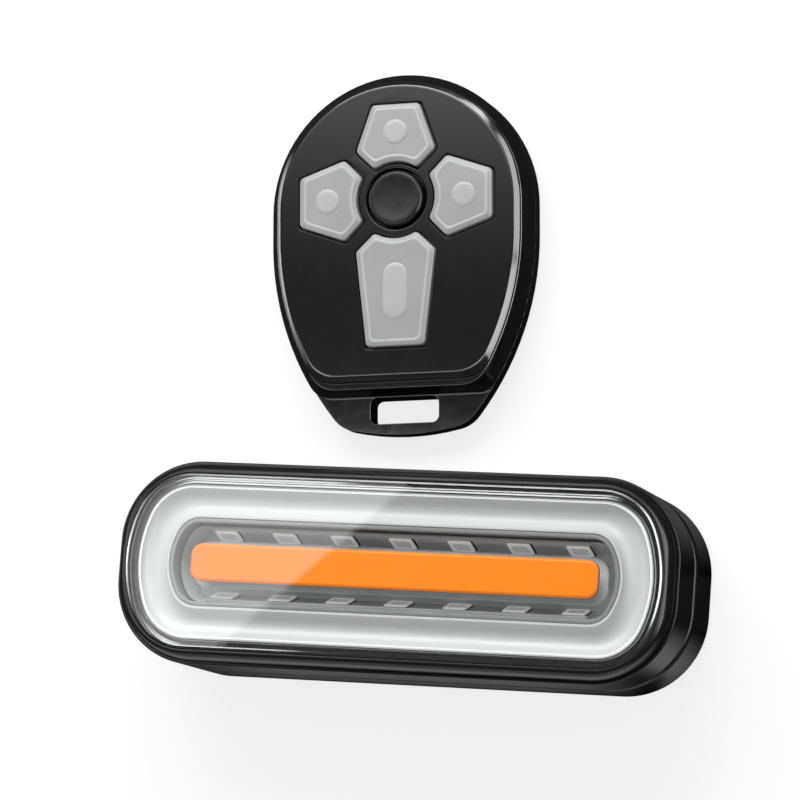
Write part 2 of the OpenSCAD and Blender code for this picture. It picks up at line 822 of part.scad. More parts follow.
module usb_socket() {
    color([0.7, 0.71, 0.72]) {
        difference() {
            along_y(port_x, port_z, usb_y - usb_l, usb_y)
                pill(usb_w, usb_h);
            along_y(port_x, port_z, usb_y - usb_l + 1, usb_y + 1)
                pill(usb_w - 2 * usb_t, usb_h - 2 * usb_t);
        }
        box_at(port_x, usb_y - usb_l / 2, port_z - 0.35, [6.6, usb_l - 1.6, 0.7]);
    }
}

module power_switch() {
    color([0.12, 0.12, 0.13]) {
        box_at(button_x, switch_y - 2.2, ctrl_top_z, [4.6, 3.2, 2.6]);
        along_y(button_x, button_z, switch_y - 1, switch_y)
            circle(0.8);
    }
}

module power_button() {
    color([0.1, 0.1, 0.105]) {
        along_y(button_x, button_z, button_flange_y - 0.1, lamp_r + button_stand)
            pill(button_w, button_h);
        along_y(button_x, button_z, button_foot_y, button_flange_y)
            pill(button_w + 1.6, button_h + 0.8);
        along_y(button_x, button_z, button_foot_y - stem_l, button_foot_y + 0.1)
            circle(1);
    }
}

module port_flap() {
    color([0.08, 0.08, 0.085]) {
        post(flap_x, flap_y, port_z - flap_seat_h / 2 - 0.7, port_z + flap_seat_h / 2 + 0.7, flap_pin_r);
        translate([flap_x, flap_floor_y + 0.1, port_z - flap_h / 2])
            cube([flap_l, flap_t, flap_h]);
        along_y(port_x, port_z, case_ri, flap_floor_y + 0.2)
            pill(tongue_w, tongue_h);
        translate([flap_x + flap_l - 1.4, flap_floor_y + 0.1, port_z - 1.4])
            cube([1.2, flap_t + 0.5, 2.8]);
    }
}

module battery() {
    color([0.62, 0.64, 0.66])
        box_at(0, 0, floor_t, [battery_l, battery_w, battery_t]);
}

module battery_leads() {
    color([0.6, 0.08, 0.06])
        for (s = [-1, 1])
            post(lead_x, s * lead_y, floor_t + battery_t, ctrl_z, lead_r);
}

module receiver_can() {
    color([0.72, 0.73, 0.74])
        box_at(-can_l / 2, 0, ctrl_z - can_t, [can_l, can_w, can_t]);
}

module board_link() {
    color([0.7, 0.6, 0.3]) {
        box_at(0, link_y, ctrl_top_z, [link_n * link_pitch, link_w, (board_z - ctrl_top_z) / 2]);
        for (i = [0:link_n - 1])
            post((i - (link_n - 1) / 2) * link_pitch, link_y, ctrl_top_z, board_z, link_pin_r);
    }
}

module joint_seal() {
    color([0.03, 0.03, 0.03])
        oval_ring(seal_ri, seal_ro, joint_z, case_z);
}

module case_screws() {
    color([0.5, 0.5, 0.52])
        four(boss_x, boss_y)
            cross_screw(screw_seat_z - screw_head_t, screw_seat_z, screw_end_z, screw_head_r, screw_r);
}

module rack_inserts() {
    color([0.75, 0.6, 0.28])
        for (s = [-1, 1])
            difference() {
                post(s * rack_x, 0, 0, insert_l, insert_r);
                post(s * rack_x, 0, -1, insert_l + 1, rack_bore_r);
            }
}

module remote_rear_shell() {
    color([0.045, 0.045, 0.05])
        on_remote()
            difference() {
                union() {
                    difference() {
                        hull() {
                            slab(egg(rear_chamfer), 0, 0.2);
                            slab(egg(0), rear_chamfer, split_z);
                        }
                        slab(egg_cut(shell_t, tail_corner_r, inner_end_y), remote_floor_t, split_z + 1);
                    }
                    remote_fixings(0.1, pcb_z, remote_post_r);
                    difference() {
                        post(0, cell_y, 0.1, cell_top_z - 0.5, cell_r + 0.2 + cell_rib_t);
                        post(0, cell_y, remote_floor_t, cell_top_z, cell_r + 0.2);
                    }
                }
                remote_fixings(-1, remote_seat_z, remote_head_r + 0.2);
                remote_fixings(0, pcb_z + 1, screw_r + 0.15);
                translate([0, slot_y, -1])
                    linear_extrude(split_z + 2)
                        round_rect(slot_w, slot_h, slot_corner_r);
            }
}

module remote_front_shell() {
    color([0.05, 0.05, 0.055])
        on_remote()
            difference() {
                union() {
                    difference() {
                        hull() {
                            slab(egg_cut(0, 4, front_end_y), split_z, split_z + 1.4);
                            slab(egg_cut(slope_in, 5, front_end_y + 0.8), face_z - 0.2, face_z);
                        }
                        slab(egg_cut(front_cavity, 4, inner_end_y), split_z - 1, deck_z);
                    }
                    remote_fixings(pcb_z, deck_z + 0.2, remote_boss_r);
                }
                remote_fixings(pcb_z - 1, deck_z - 0.6, screw_r + fit);
                key_holes(deck_z - 1, face_z + 1);
            }
}

module key_holes(z0, z1) {
    post(0, 0, z0, z1, centre_r + centre_gap);
    slab(upper_pts(key_gap), z0, z1);
    rotate([0, 0, 90])
        slab(side_pts(key_gap), z0, z1);
    rotate([0, 0, -90])
        slab(side_pts(key_gap), z0, z1);
    rotate([0, 0, 180])
        slab(lower_pts(key_gap), z0, z1);
}

module remote_face_plate() {
    color([0.09, 0.09, 0.095])
        on_remote()
            difference() {
                hull() {
                    slab(egg_cut(face_in, face_corner_r, face_end_y), face_z, remote_t - face_edge);
                    slab(egg_cut(face_in + face_edge, face_corner_r, face_end_y + face_edge),
                        remote_t - 0.1, remote_t);
                }
                key_holes(face_z - 1, remote_t + 1);
                translate([0, 0, remote_t - centre_chamfer])
                    cylinder(r1 = centre_r + centre_gap, r2 = centre_r + centre_gap + 2 * centre_chamfer,
                        h = 2 * centre_chamfer);
            }
}

module key_mat() {
    color([0.5, 0.5, 0.52])
        on_remote()
            difference() {
                slab(egg_cut(pcb_in + 0.2, 4, inner_end_y + 0.5), pcb_top_z, mat_top_z);
                remote_fixings(pcb_top_z - 1, mat_top_z + 1, remote_boss_r + 0.3);
                for (p = dome_places)
                    post(p[0], p[1], pcb_top_z - 1, pcb_top_z + dome_t + 0.4, dome_r + 0.4);
            }
}

module remote_board() {
    color([0.05, 0.25, 0.13])
        on_remote()
            difference() {
                slab(egg_cut(pcb_in, 4, inner_end_y + 0.3), pcb_z, pcb_top_z);
                remote_fixings(pcb_z - 1, pcb_top_z + 1, remote_boss_r + 0.15);
            }
}

module switch_domes() {
    color([0.75, 0.75, 0.76])
        on_remote()
            for (p = dome_places)
                translate([p[0], p[1], pcb_top_z])
                    cylinder(r1 = dome_r, r2 = dome_r * 0.5, h = dome_t);
}

module coin_cell() {
    color([0.78, 0.78, 0.79])
        on_remote() {
            post(0, cell_y, remote_floor_t, cell_top_z - 0.4, cell_r);
            post(0, cell_y, cell_top_z - 0.5, cell_top_z, cell_r - 1.2);
        }
}

module cell_contact() {
    color([0.8, 0.7, 0.4])
        on_remote()
            box_at(0, cell_y, cell_top_z, [7, 3, contact_t]);
}

module transmitter_chip() {
    color([0.1, 0.1, 0.11])
        on_remote()
            box_at(0, 10, pcb_z - 1.2, [7, 6, 1.2]);
}

module remote_screws() {
    color([0.5, 0.5, 0.52])
        on_remote()
            for (p = [upper_screw, lower_screw], s = [-1, 1])
                translate([s * p[0], p[1], 0])
                    cross_screw(remote_seat_z - 1.3, remote_seat_z, deck_z - 1, remote_head_r, screw_r);
}

module key_cap(r, outer_w, outer_d) {
    slab(key_pts(r, outer_w, outer_d, 0), flange_z, key_top_z - key_edge);
    slab(key_pts(r, outer_w, outer_d, -key_edge), key_top_z - key_edge - 0.1, key_top_z);
    difference() {
        slab(key_pts(r, outer_w, outer_d, flange_out), flange_z, flange_z + flange_t);
        post(0, 0, flange_z - 1, flange_z + flange_t + 1, flange_clear_r);
    }
}

module upper_key() {
    color([0.62, 0.63, 0.65])
        on_remote() {
            key_cap(upper_key_r, key_outer_w, key_outer_d);
            post(0, upper_key_r + mark_d, key_top_z - 0.1, key_top_z + mark_t, mark_r);
        }
}

module side_key() {
    key_cap(side_key_r, key_outer_w, key_outer_d);
    post(0, side_key_r + mark_d, key_top_z - 0.1, key_top_z + mark_t, mark_r);
}

module left_key() {
    color([0.62, 0.63, 0.65])
        on_remote()
            rotate([0, 0, 90])
                side_key();
}

module right_key() {
    color([0.62, 0.63, 0.65])
        on_remote()
            rotate([0, 0, -90])
                side_key();
}

module lower_key() {
    color([0.6, 0.61, 0.63])
        on_remote() {
            rotate([0, 0, 180])
                key_cap(side_key_r, lower_key_w, lower_key_d);
            translate([0, lower_mark_y, key_top_z - 0.1])
                rotate([0, 0, 90])
                    linear_extrude(mark_t + 0.1)
                        pill(mark_l, 2 * mark_r);
        }
}

module centre_button() {
    dome_z = remote_t + 0.1;
    ball_r = (centre_r * centre_r + centre_dome * centre_dome) / (2 * centre_dome);
    half_a = asin(centre_r / ball_r);
    color([0.05, 0.05, 0.055])
        on_remote() {
            rotate_extrude()
                polygon(concat(
                    [[0, flange_z], [centre_r, flange_z]],
                    arc([0, dome_z + centre_dome - ball_r], ball_r, 90 - half_a, 90, 8)));
            post(0, 0, flange_z, flange_z + flange_t, centre_r + 1.1);
        }
}

lamp_case();
rear_cover();
front_bezel();
front_lens();
lens_seal();
light_ring();
ring_board();
ring_leds();
well_wall();
well_tray();
upper_led_board();
lower_led_board();
upper_leds();
lower_leds();
amber_bar();
control_board();
usb_socket();
power_switch();
power_button();
port_flap();
battery();
battery_leads();
receiver_can();
board_link();
joint_seal();
case_screws();
rack_inserts();
remote_rear_shell();
remote_front_shell();
remote_face_plate();
key_mat();
remote_board();
switch_domes();
coin_cell();
cell_contact();
transmitter_chip();
remote_screws();
upper_key();
left_key();
right_key();
lower_key();
centre_button();
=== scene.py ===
"""Looks of the bicycle turn signal: an oval rear lamp and its egg shaped wireless remote."""

import math

import bmesh
import bpy
from mathutils import Euler, Matrix, Vector


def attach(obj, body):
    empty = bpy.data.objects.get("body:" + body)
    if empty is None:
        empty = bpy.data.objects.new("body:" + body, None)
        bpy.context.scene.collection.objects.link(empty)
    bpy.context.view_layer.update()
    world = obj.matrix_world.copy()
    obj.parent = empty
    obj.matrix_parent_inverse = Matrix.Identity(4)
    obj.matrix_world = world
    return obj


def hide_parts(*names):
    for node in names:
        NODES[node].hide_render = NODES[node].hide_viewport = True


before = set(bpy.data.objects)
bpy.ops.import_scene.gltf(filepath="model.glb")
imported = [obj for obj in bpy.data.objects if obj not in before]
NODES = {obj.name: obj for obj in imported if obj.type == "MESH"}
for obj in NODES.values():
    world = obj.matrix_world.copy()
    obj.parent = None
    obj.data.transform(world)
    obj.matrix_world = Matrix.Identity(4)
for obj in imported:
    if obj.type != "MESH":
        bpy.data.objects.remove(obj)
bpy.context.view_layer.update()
MM = 0.001

# Lamp sizes in millimetres, as in the CAD: outlines run parallel, r above the long axis
LENS_R = 15.0
BEZEL_RI = LENS_R + 0.05
BEZEL_STEP_R = 15.5
BEZEL_RO = 16.9
OPTIC_R = 15.4
SEAL_RI = 13.5
RECESS_R = 13.3
RING_RI = 7.6
RING_RO = 13.1
INNER_LEG_W = 0.8
OUTER_LEG_W = 1.0
CHANNEL_MID = (RING_RI + RING_RO) / 2
CHANNEL_HALF = 2.35
CHANNEL_DEPTH = 1.7
TRAY_R = RING_RI + 1.0
GUIDE_RI = 6.8
GUIDE_RO = 7.5

# Lamp heights
LENS_TOP = 28.0
LENS_Z = 26.2
OPTIC_TOP_Z = 26.1
RIM_Z = 25.2
RING_Z = 24.5
RING_UNDER_Z = 23.6
BEZEL_Z = 23.2
BOARD_TOP_Z = 21.4
BOARD_Z = BOARD_TOP_Z - 1.0
WELL_Z = 18.0
TRAY_Z = WELL_Z - 1.0

# Side boards of the well and their diodes
SIDE_TILT = 16.0
SIDE_BOARD_H = 5.0
SIDE_BOARD_T = 0.6
SIDE_WALL_Y = GUIDE_RI - 0.2
SIDE_FOOT_Y = SIDE_WALL_Y - SIDE_BOARD_H * math.sin(math.radians(SIDE_TILT))
SIDE_TOP_Z = 22.77
LED_PITCH = 10.4
LED_N = 7
LED_UP = 2.4
LED_W = 4.0
LED_H = 4.2
LED_T = 0.4
LED_EDGE = (  # taken off width and height, corner radius, depth below the top
    (0.0, 0.35, LED_T), (0.0, 0.35, 0.14), (0.16, 0.3, 0.04),
    (0.4, 0.25, 0.0), (0.9, 0.5, 0.0), (1.1, 0.5, 0.1))
# A thin black sheet behind each diode, shifted sideways: painted shadow beside the diode
SHADE_SHEET_W = LED_W + 0.44
SHADE_SHEET_H = LED_H + 0.1
SHADE_SHEET_R = 0.4
SHADE_SHEET_T = 0.05
SHADE_SHEET_SHIFT = 0.2

# Amber bar and the ledge about its stem
BAR_L = 72.0
BAR_W = 6.5
BAR_R = 2.0
BAR_LOW_Z = 23.1
BAR_UNDERCUT = 2.5
BAR_SIDE = 1.1
BAR_EDGE = 0.6
BAR_STEM_W = 4.0
BAR_STEM_R = 0.3
SEAT_W = 0.75
SEAT_TUCK = -1.0
SEAT_LOW_Z = 21.3
SEAT_TOP_Z = 22.0
SEAT_EDGE = 0.15

# Lamp edges: most are broken by a small chamfer
SOFT = 0.1
LIP_R = 0.2
CROWN_W = 1.55
CROWN_H = 2.85
CROWN_Z = 24.9
LENS_CHAMFER = ((0.0, 0.3), (0.015, 0.2), (0.04, 0.13), (0.33, 0.0))  # set in, below the top
BEZEL_LIP = ((0.15, 0.03), (0.05, 0.12), (0.0, 0.25))  # out from the hole, below the crown

# Steps of the seal under the lens: r, depth below the rim, 1 where the flat that starts there is glossy
SEAL_STEPS = (
    (OPTIC_R, 0.02, 1), (15.0, 0.03, 1), (14.34, 0.075, 0),
    (14.32, 0.12, 0), (14.3, 0.12, 0), (14.28, 0.04, 1), (14.02, 0.026, 0),
    (14.0, 0.12, 0), (13.92, 0.12, 0), (13.88, 0.06, 1), (13.6, 0.022, 0), (13.57, 0.1, 0))

# End curves of the lamp's outlines: r, corner centre x and y, half angle of the gentle end curve
ENDS = (
    (7.6, 34.6, 3.3, 30.0),
    (13.0, 36.1, 4.8, 22.0),
    (15.1, 36.1, 4.8, 22.0),
    (16.8, 35.27, 3.3, 1.0))

# Remote sizes in millimetres, about the centre button
REMOTE_AT = Matrix.Translation((-9.3, 66.8, 0)) @ Matrix.Rotation(math.radians(4.3), 4, "Z")
REMOTE_R = 23.8
TOP_CY = -1.0
WAIST_Y = -6.25
FLANK_R = 51.0
FLANK_C = FLANK_R - REMOTE_R
FACE_Z = 8.6
FACE_END_Y = -33.75
FACE_CORNER_R = 6.0
REMOTE_T = 9.8
FACE_EDGE = (  # set in from the outline, below the face
    (1.75, 1.2), (1.55, 1.05), (1.55, 0.85), (1.57, 0.7), (1.65, 0.58), (1.8, 0.48),
    (2.45, 0.13), (2.6, 0.06), (2.78, 0.015), (3.0, 0.0))

# Keys and centre button
KEY_TOP = 10.6
KEY_GAP = 0.3
KEY_FOOT_X = 3.8
KEY_SHOULDER_X = 7.2
KEY_SHOULDER_UP = 3.3
FLANGE_GROW = 0.9
FLANGE_R = 7.25
FLANGE_LOW_Z = 6.75
FLANGE_TOP_Z = 7.5
STEM_Z = 7.52
FIELD_DROP = 0.09
MARK_R = 2.2
BUTTON_R = 5.0
BUTTON_EDGE = 0.7
BUTTON_FLANGE_R = 6.1
BUTTON_HOLE_R = 5.4
HOLE_LOW_Z = FACE_Z - 0.4
HOLE_TOP_Z = REMOTE_T + 0.02
KEY_HOLE = (  # growth of the outline, height
    (0.0, HOLE_LOW_Z), (0.0, REMOTE_T - 0.25), (0.1, REMOTE_T - 0.08), (0.3, HOLE_TOP_Z))
BUTTON_HOLE = (  # growth of the radius, height
    (0.0, HOLE_LOW_Z), (0.0, REMOTE_T - 0.4), (0.1, REMOTE_T - 0.15), (0.45, HOLE_TOP_Z))
KEY_EDGE = (  # growth of the outline, depth below the top
    (0.0, 0.42), (-0.06, 0.28), (-0.2, 0.17), (-0.8, 0.05),
    (-0.92, 0.0), (-1.14, 0.0), (-1.26, FIELD_DROP))
KEY_PICKS = [0] * 6 + [1] * 3 + [0]
MARK_EDGE = ((0.0, -0.03), (0.05, 0.05), (0.3, 0.13), (0.75, 0.16))  # set in, above the field
BUTTON_DISH = ((3.9, 0.02), (3.3, 0.08), (2.2, 0.13), (1.0, 0.15))  # r, depth below the top

# Keys: hollow radius, half width of the outer end and reach; turn; distance and length of the mark
KEYS = {
    "upper_key": ((6.5, 4.3, 11.5), 0, 11.8, 2 * MARK_R),
    "left_key": ((7.1, 4.3, 11.5), 90, 12.4, 2 * MARK_R),
    "right_key": ((7.1, 4.3, 11.5), -90, 12.4, 2 * MARK_R),
    "lower_key": ((7.1, 5.3, 20.2), 180, 16.4, 9.9),
}

# Camera: place in millimetres, turn in degrees
CAMERA_AT = (227.806, -72.015, 764.211)
CAMERA_TURN = (8.7234, 16.6187, 4.3586)
CAMERA_LENS = 206.73
CAMERA_SENSOR = 36.0

# Light levels
WORLD_LIGHT = 0.4
WORLD_GLOSS = 0.07
WORLD_SEEN = 1.0
FLOOR_GLOW = 0.8
KEY_WATTS = 7.4


# Shaders

def noise(nt, coord, scale, detail=3.0, rough=0.55):
    tex = nt.nodes.new("ShaderNodeTexNoise")
    tex.inputs["Scale"].default_value = scale
    tex.inputs["Detail"].default_value = detail
    tex.inputs["Roughness"].default_value = rough
    nt.links.new(coord, tex.inputs["Vector"])
    return tex.outputs["Fac"]


def ramp(nt, fac, low, high, start=0.3, stop=0.7):
    node = nt.nodes.new("ShaderNodeValToRGB")
    node.color_ramp.elements[0].position = start
    node.color_ramp.elements[0].color = (*low, 1.0)
    node.color_ramp.elements[1].position = stop
    node.color_ramp.elements[1].color = (*high, 1.0)
    nt.links.new(fac, node.inputs["Fac"])
    return node.outputs["Color"]


def spread(nt, fac, low, high):
    """Takes the middle of a noise to the range from low to high."""
    node = nt.nodes.new("ShaderNodeMapRange")
    node.inputs["From Min"].default_value = 0.3
    node.inputs["From Max"].default_value = 0.7
    node.inputs["To Min"].default_value = low
    node.inputs["To Max"].default_value = high
    nt.links.new(fac, node.inputs["Value"])
    return node.outputs["Result"]


def bump(nt, height, depth_um):
    node = nt.nodes.new("ShaderNodeBump")
    node.inputs["Strength"].default_value = 1.0
    node.inputs["Distance"].default_value = depth_um * 1e-6
    nt.links.new(height, node.inputs["Height"])
    return node.outputs["Normal"]


def maths(nt, operation, one, two):
    """One step of arithmetic on a socket and either a second socket or a number."""
    node = nt.nodes.new("ShaderNodeMath")
    node.operation = operation
    nt.links.new(one, node.inputs[0])
    if isinstance(two, float):
        node.inputs[1].default_value = two
    else:
        nt.links.new(two, node.inputs[1])
    return node.outputs[0]


def mixed(nt, share, one, two):
    node = nt.nodes.new("ShaderNodeMixShader")
    nt.links.new(share, node.inputs["Fac"])
    nt.links.new(one, node.inputs[1])
    nt.links.new(two, node.inputs[2])
    return node.outputs[0]


def object_coord(nt):
    return nt.nodes.new("ShaderNodeTexCoord").outputs["Object"]


def scaled(color, k):
    return tuple(min(1.0, c * k) for c in color)


def surface(name, color, rough, blotch=0.1, cloud=120.0, rough_var=0.05, grain=2600.0, depth=6.0, **sockets):
    """A moulded, painted or plated surface: soft colour clouds, uneven gloss and a fine grain."""
    mat = bpy.data.materials.new(name)
    mat.use_nodes = True
    nt = mat.node_tree
    bsdf = nt.nodes["Principled BSDF"]
    coord = object_coord(nt)
    clouds = noise(nt, coord, cloud)
    shade = ramp(nt, clouds, scaled(color, 1 - blotch), scaled(color, 1 + blotch))
    nt.links.new(shade, bsdf.inputs["Base Color"])
    patches = noise(nt, coord, cloud * 3.7, 4.0)
    nt.links.new(spread(nt, patches, rough - rough_var, rough + rough_var), bsdf.inputs["Roughness"])
    fine = noise(nt, coord, grain, 2.0)
    nt.links.new(bump(nt, fine, depth), bsdf.inputs["Normal"])
    for socket, value in sockets.items():
        bsdf.inputs[socket.replace("_", " ")].default_value = value
    return mat


def metal(name, color, rough, **details):
    return surface(name, color, rough, Metallic=1.0, **details)


def with_painted_glow(name, color, rough, glow, strength, **details):
    """A surface with a painted glow: a little emission that makes it look lit, though it is no lamp."""
    return surface(name, color, rough, Emission_Color=(*glow, 1.0), Emission_Strength=strength, **details)


def clear(name, color, ior=1.49, rough=0.01, weight=1.0):
    """Clear moulded plastic that lets lamps through to what lies behind it."""
    mat = bpy.data.materials.new(name)
    mat.use_nodes = True
    nt = mat.node_tree
    bsdf = nt.nodes["Principled BSDF"]
    bsdf.inputs["Base Color"].default_value = (*color, 1.0)
    bsdf.inputs["Transmission Weight"].default_value = weight
    bsdf.inputs["IOR"].default_value = ior
    smudge = noise(nt, object_coord(nt), 160.0, 4.0)
    nt.links.new(spread(nt, smudge, 0.0, 2 * rough), bsdf.inputs["Roughness"])
    path = nt.nodes.new("ShaderNodeLightPath")
    either = maths(nt, "MAXIMUM", path.outputs["Is Shadow Ray"], path.outputs["Is Diffuse Ray"])
    passing = nt.nodes.new("ShaderNodeBsdfTransparent")
    passing.inputs["Color"].default_value = (*color, 1.0)
    whole = mixed(nt, either, bsdf.outputs[0], passing.outputs[0])
    nt.links.new(whole, nt.nodes["Material Output"].inputs["Surface"])
    return mat


def circuit(name, mask, copper):
    """Solder mask over copper: paler tracks between cells, and a dull gloss."""
    mat = surface(name, mask, 0.38, blotch=0.12, depth=3.0)
    nt = mat.node_tree
    cells = nt.nodes.new("ShaderNodeTexVoronoi")
    cells.feature = "DISTANCE_TO_EDGE"
    cells.inputs["Scale"].default_value = 420.0
    nt.links.new(object_coord(nt), cells.inputs["Vector"])
    tracks = ramp(nt, cells.outputs["Distance"], copper, mask, 0.05, 0.09)
    nt.links.new(tracks, nt.nodes["Principled BSDF"].inputs["Base Color"])
    return mat


SHELL_BLACK = (0.006, 0.006, 0.0063)
BEZEL_BLACK = (0.01, 0.01, 0.0105)
SEAL_GREY = (0.42, 0.42, 0.423)
AMBER = (0.9, 0.225, 0.006)
# Colour of the amber bar's painted glow: emission, though the bar is no lamp
AMBER_PAINTED_GLOW = (1.0, 0.235, 0.005)
REMOTE_BLACK = (0.006, 0.006, 0.0065)
FACE_BLACK = (0.0045, 0.0045, 0.0047)

MAT = {
    "lamp_shell": surface("satin_black_shell", SHELL_BLACK, 0.3, rough_var=0.03, grain=3200.0, depth=1.2),
    "bezel_black": surface("semi_gloss_bezel", BEZEL_BLACK, 0.24, rough_var=0.03, grain=2000.0, depth=0.8),
    "clear_lens": clear("clear_lens", (0.985, 0.99, 0.99)),
    "lens_edge": metal("bright_lens_edge", (0.33, 0.33, 0.333), 0.2, depth=0.2),
    "frosted_edge": surface("frosted_edge", (0.84, 0.84, 0.845), 0.5, blotch=0.03, depth=2.0),
    "seal_black": surface("seal_black", (0.006, 0.006, 0.0062), 0.4, depth=0.5),
    "seal_gloss": metal("seal_gloss", SEAL_GREY, 0.09, blotch=0.03, rough_var=0.02, depth=0.1),
    # Lip of the white ring: paler than the ring and glowing, a painted highlight
    "lip_painted_highlight": with_painted_glow("lip_painted_highlight", (0.97, 0.97, 0.965), 0.2, (1.0, 1.0, 0.995), 0.22, blotch=0.01, depth=0.5),
    "white_optic": surface("white_diffuser", (0.7, 0.7, 0.697), 0.36, blotch=0.015, depth=3.0),
    "white_board": circuit("white_board", (0.78, 0.79, 0.78), (0.62, 0.6, 0.5)),
    # Diode packages and windows: painted glow, a little emission though they are unlit
    "diode": with_painted_glow("diode_package", (0.95, 0.955, 0.96), 0.3, (1.0, 1.0, 0.99), 0.2, depth=1.0),
    "diode_window": with_painted_glow("diode_window", (0.86, 0.865, 0.86), 0.15, (1.0, 1.0, 0.98), 0.12,
        blotch=0.12, cloud=900.0, depth=1.0),
    # Black sheet behind the diodes: painted shadow
    "diode_painted_shadow": surface("diode_painted_shadow", (0.006, 0.006, 0.006), 0.6, depth=3.0),
    "clear_wall": clear("clear_wall", (0.6, 0.61, 0.615), rough=0.1, weight=0.5),
    "smoked_grey": surface("smoked_grey", (0.78, 0.78, 0.785), 0.32, depth=1.5),
    "grey_board": surface("grey_board", (0.7, 0.7, 0.705), 0.34, depth=1.5),
    "seat_grey": surface("seat_grey", (0.8, 0.8, 0.805), 0.3, depth=1.5),
    # Undercut sides of the amber bar: painted shade, dark where the bar's outline falls in shade
    "bar_side_painted_shade": surface("bar_side_painted_shade", (0.03, 0.03, 0.031), 0.5, depth=4.0),
    # Amber bar face: its own amber colour plus a painted glow
    "amber_optic": with_painted_glow("amber_guide", AMBER, 0.3, AMBER_PAINTED_GLOW, 0.32,
        blotch=0.008, rough_var=0.015, depth=1.5, Specular_IOR_Level=0.25),
    "green_board": circuit("green_board", (0.012, 0.12, 0.05), (0.07, 0.22, 0.09)),
    "bright_steel": metal("bright_plate", (0.68, 0.68, 0.69), 0.26, depth=3.0),
    "black_trim": surface("black_trim", (0.02, 0.02, 0.021), 0.45, depth=6.0),
    "black_rubber": surface("black_rubber", (0.016, 0.016, 0.017), 0.62, grain=4200.0, depth=8.0),
    "foil_pouch": surface("foil_pouch", (0.62, 0.63, 0.65), 0.34, grain=600.0, depth=30.0, Metallic=0.9),
    "lead_red": surface("wire_red", (0.45, 0.03, 0.025), 0.4, depth=4.0),
    "brass_trim": metal("bright_brass", (0.72, 0.5, 0.2), 0.28, depth=4.0),
    "screw_steel": metal("zinc_plate", (0.5, 0.5, 0.53), 0.3, grain=1500.0, depth=5.0),
    "remote_gloss": surface("remote_gloss", REMOTE_BLACK, 0.13, rough_var=0.03, depth=1.5, IOR=2.0),
    "remote_face": surface("remote_face", FACE_BLACK, 0.22, rough_var=0.01, grain=3600.0, depth=1.5),
    "grey_silicone": surface("grey_silicone", (0.3, 0.3, 0.31), 0.5, depth=6.0),
    "key_grey": surface("key_grey", (0.38, 0.38, 0.382), 0.33, blotch=0.05, depth=3.0),
    "key_line": surface("key_line", (0.5, 0.504, 0.508), 0.3, blotch=0.04, depth=3.0),
    "key_mark": surface("key_mark", (0.48, 0.48, 0.482), 0.34, blotch=0.05, depth=3.0),
    "centre_black": surface("centre_black", (0.008, 0.008, 0.0085), 0.27, depth=3.0),
}


# Outlines

def arc(cx, cy, r, start, stop, n, ry=None):
    turn = [math.radians(start + (stop - start) * i / n) for i in range(n + 1)]
    return [(cx + r * math.cos(a), cy + (ry or r) * math.sin(a)) for a in turn]


def circle(r, n=96):
    return arc(0, 0, r, 0, 360, n)[:-1]


def round_rect(w, h, r, n=8):
    r = max(r, 0.01)
    x, y = w / 2 - r, h / 2 - r
    corners = ((x, y, 0), (-x, y, 90), (-x, -y, 180), (x, -y, 270))
    return [p for cx, cy, a in corners for p in arc(cx, cy, r, a, a + 90, n)]


def end_curve(r):
    """Corner centre and end angle of the outline at r, between the listed ones."""
    r = min(max(r, ENDS[0][0]), ENDS[-1][0])
    for low, high in zip(ENDS, ENDS[1:]):
        if r <= high[0]:
            share = (r - low[0]) / (high[0] - low[0])
            return [a + (b - a) * share for a, b in zip(low[1:], high[1:])]


def oval_quarter(r, n=24):
    """Points of one quarter of the outline at r, evenly from the end's tip to the start of the long side."""
    x, y, turn = end_curve(r)
    turn = math.radians(turn)
    small = r - y
    large = small + y / math.sin(turn)
    tip = large * turn
    total = tip + small * (math.pi / 2 - turn)
    points = []
    for i in range(n + 1):
        along = total * i / n
        if along < tip:
            a = along / large
            points.append((x - y / math.tan(turn) + large * math.cos(a), large * math.sin(a)))
        else:
            a = turn + (along - tip) / small
            points.append((x + small * math.cos(a), y + small * math.sin(a)))
    return points


def oval_outline(r):
    first = oval_quarter(r)
    upper = first + [(-x, y) for x, y in reversed(first)]
    return upper + [(x, -y) for x, y in reversed(upper[1:-1])]


def egg_cut(d, r, y):
    """The remote's outline set in by d, with a straight lower end at y and corners of radius r."""
    cy = y + r
    cx = math.sqrt((FLANK_R - d - r) ** 2 - (WAIST_Y - cy) ** 2) - FLANK_C
    a = math.degrees(math.atan2(WAIST_Y - cy, cx + FLANK_C))
    points = arc(0, TOP_CY, REMOTE_R - d, 0, 180, 90)
    points += arc(FLANK_C, WAIST_Y, FLANK_R - d, 180, 180 + a, 24)
    points += arc(-cx, cy, r, 180 + a, 270, 16)[1:]
    points += arc(cx, cy, r, 270, 360 - a, 16)
    points += arc(-FLANK_C, WAIST_Y, FLANK_R - d, 360 - a, 360, 24)[1:]
    return points


def meet(one, two):
    """Where two lines cross, each given as a point and a direction."""
    (p, u), (q, v) = one, two
    k = ((q - p).x * v.y - (q - p).y * v.x) / (u.x * v.y - u.y * v.x)
    return p + u * k


def bend(start, corner, stop, steps=6):
    parts = [i / steps for i in range(steps + 1)]
    return [start * (1 - k) ** 2 + corner * 2 * k * (1 - k) + stop * k * k for k in parts]


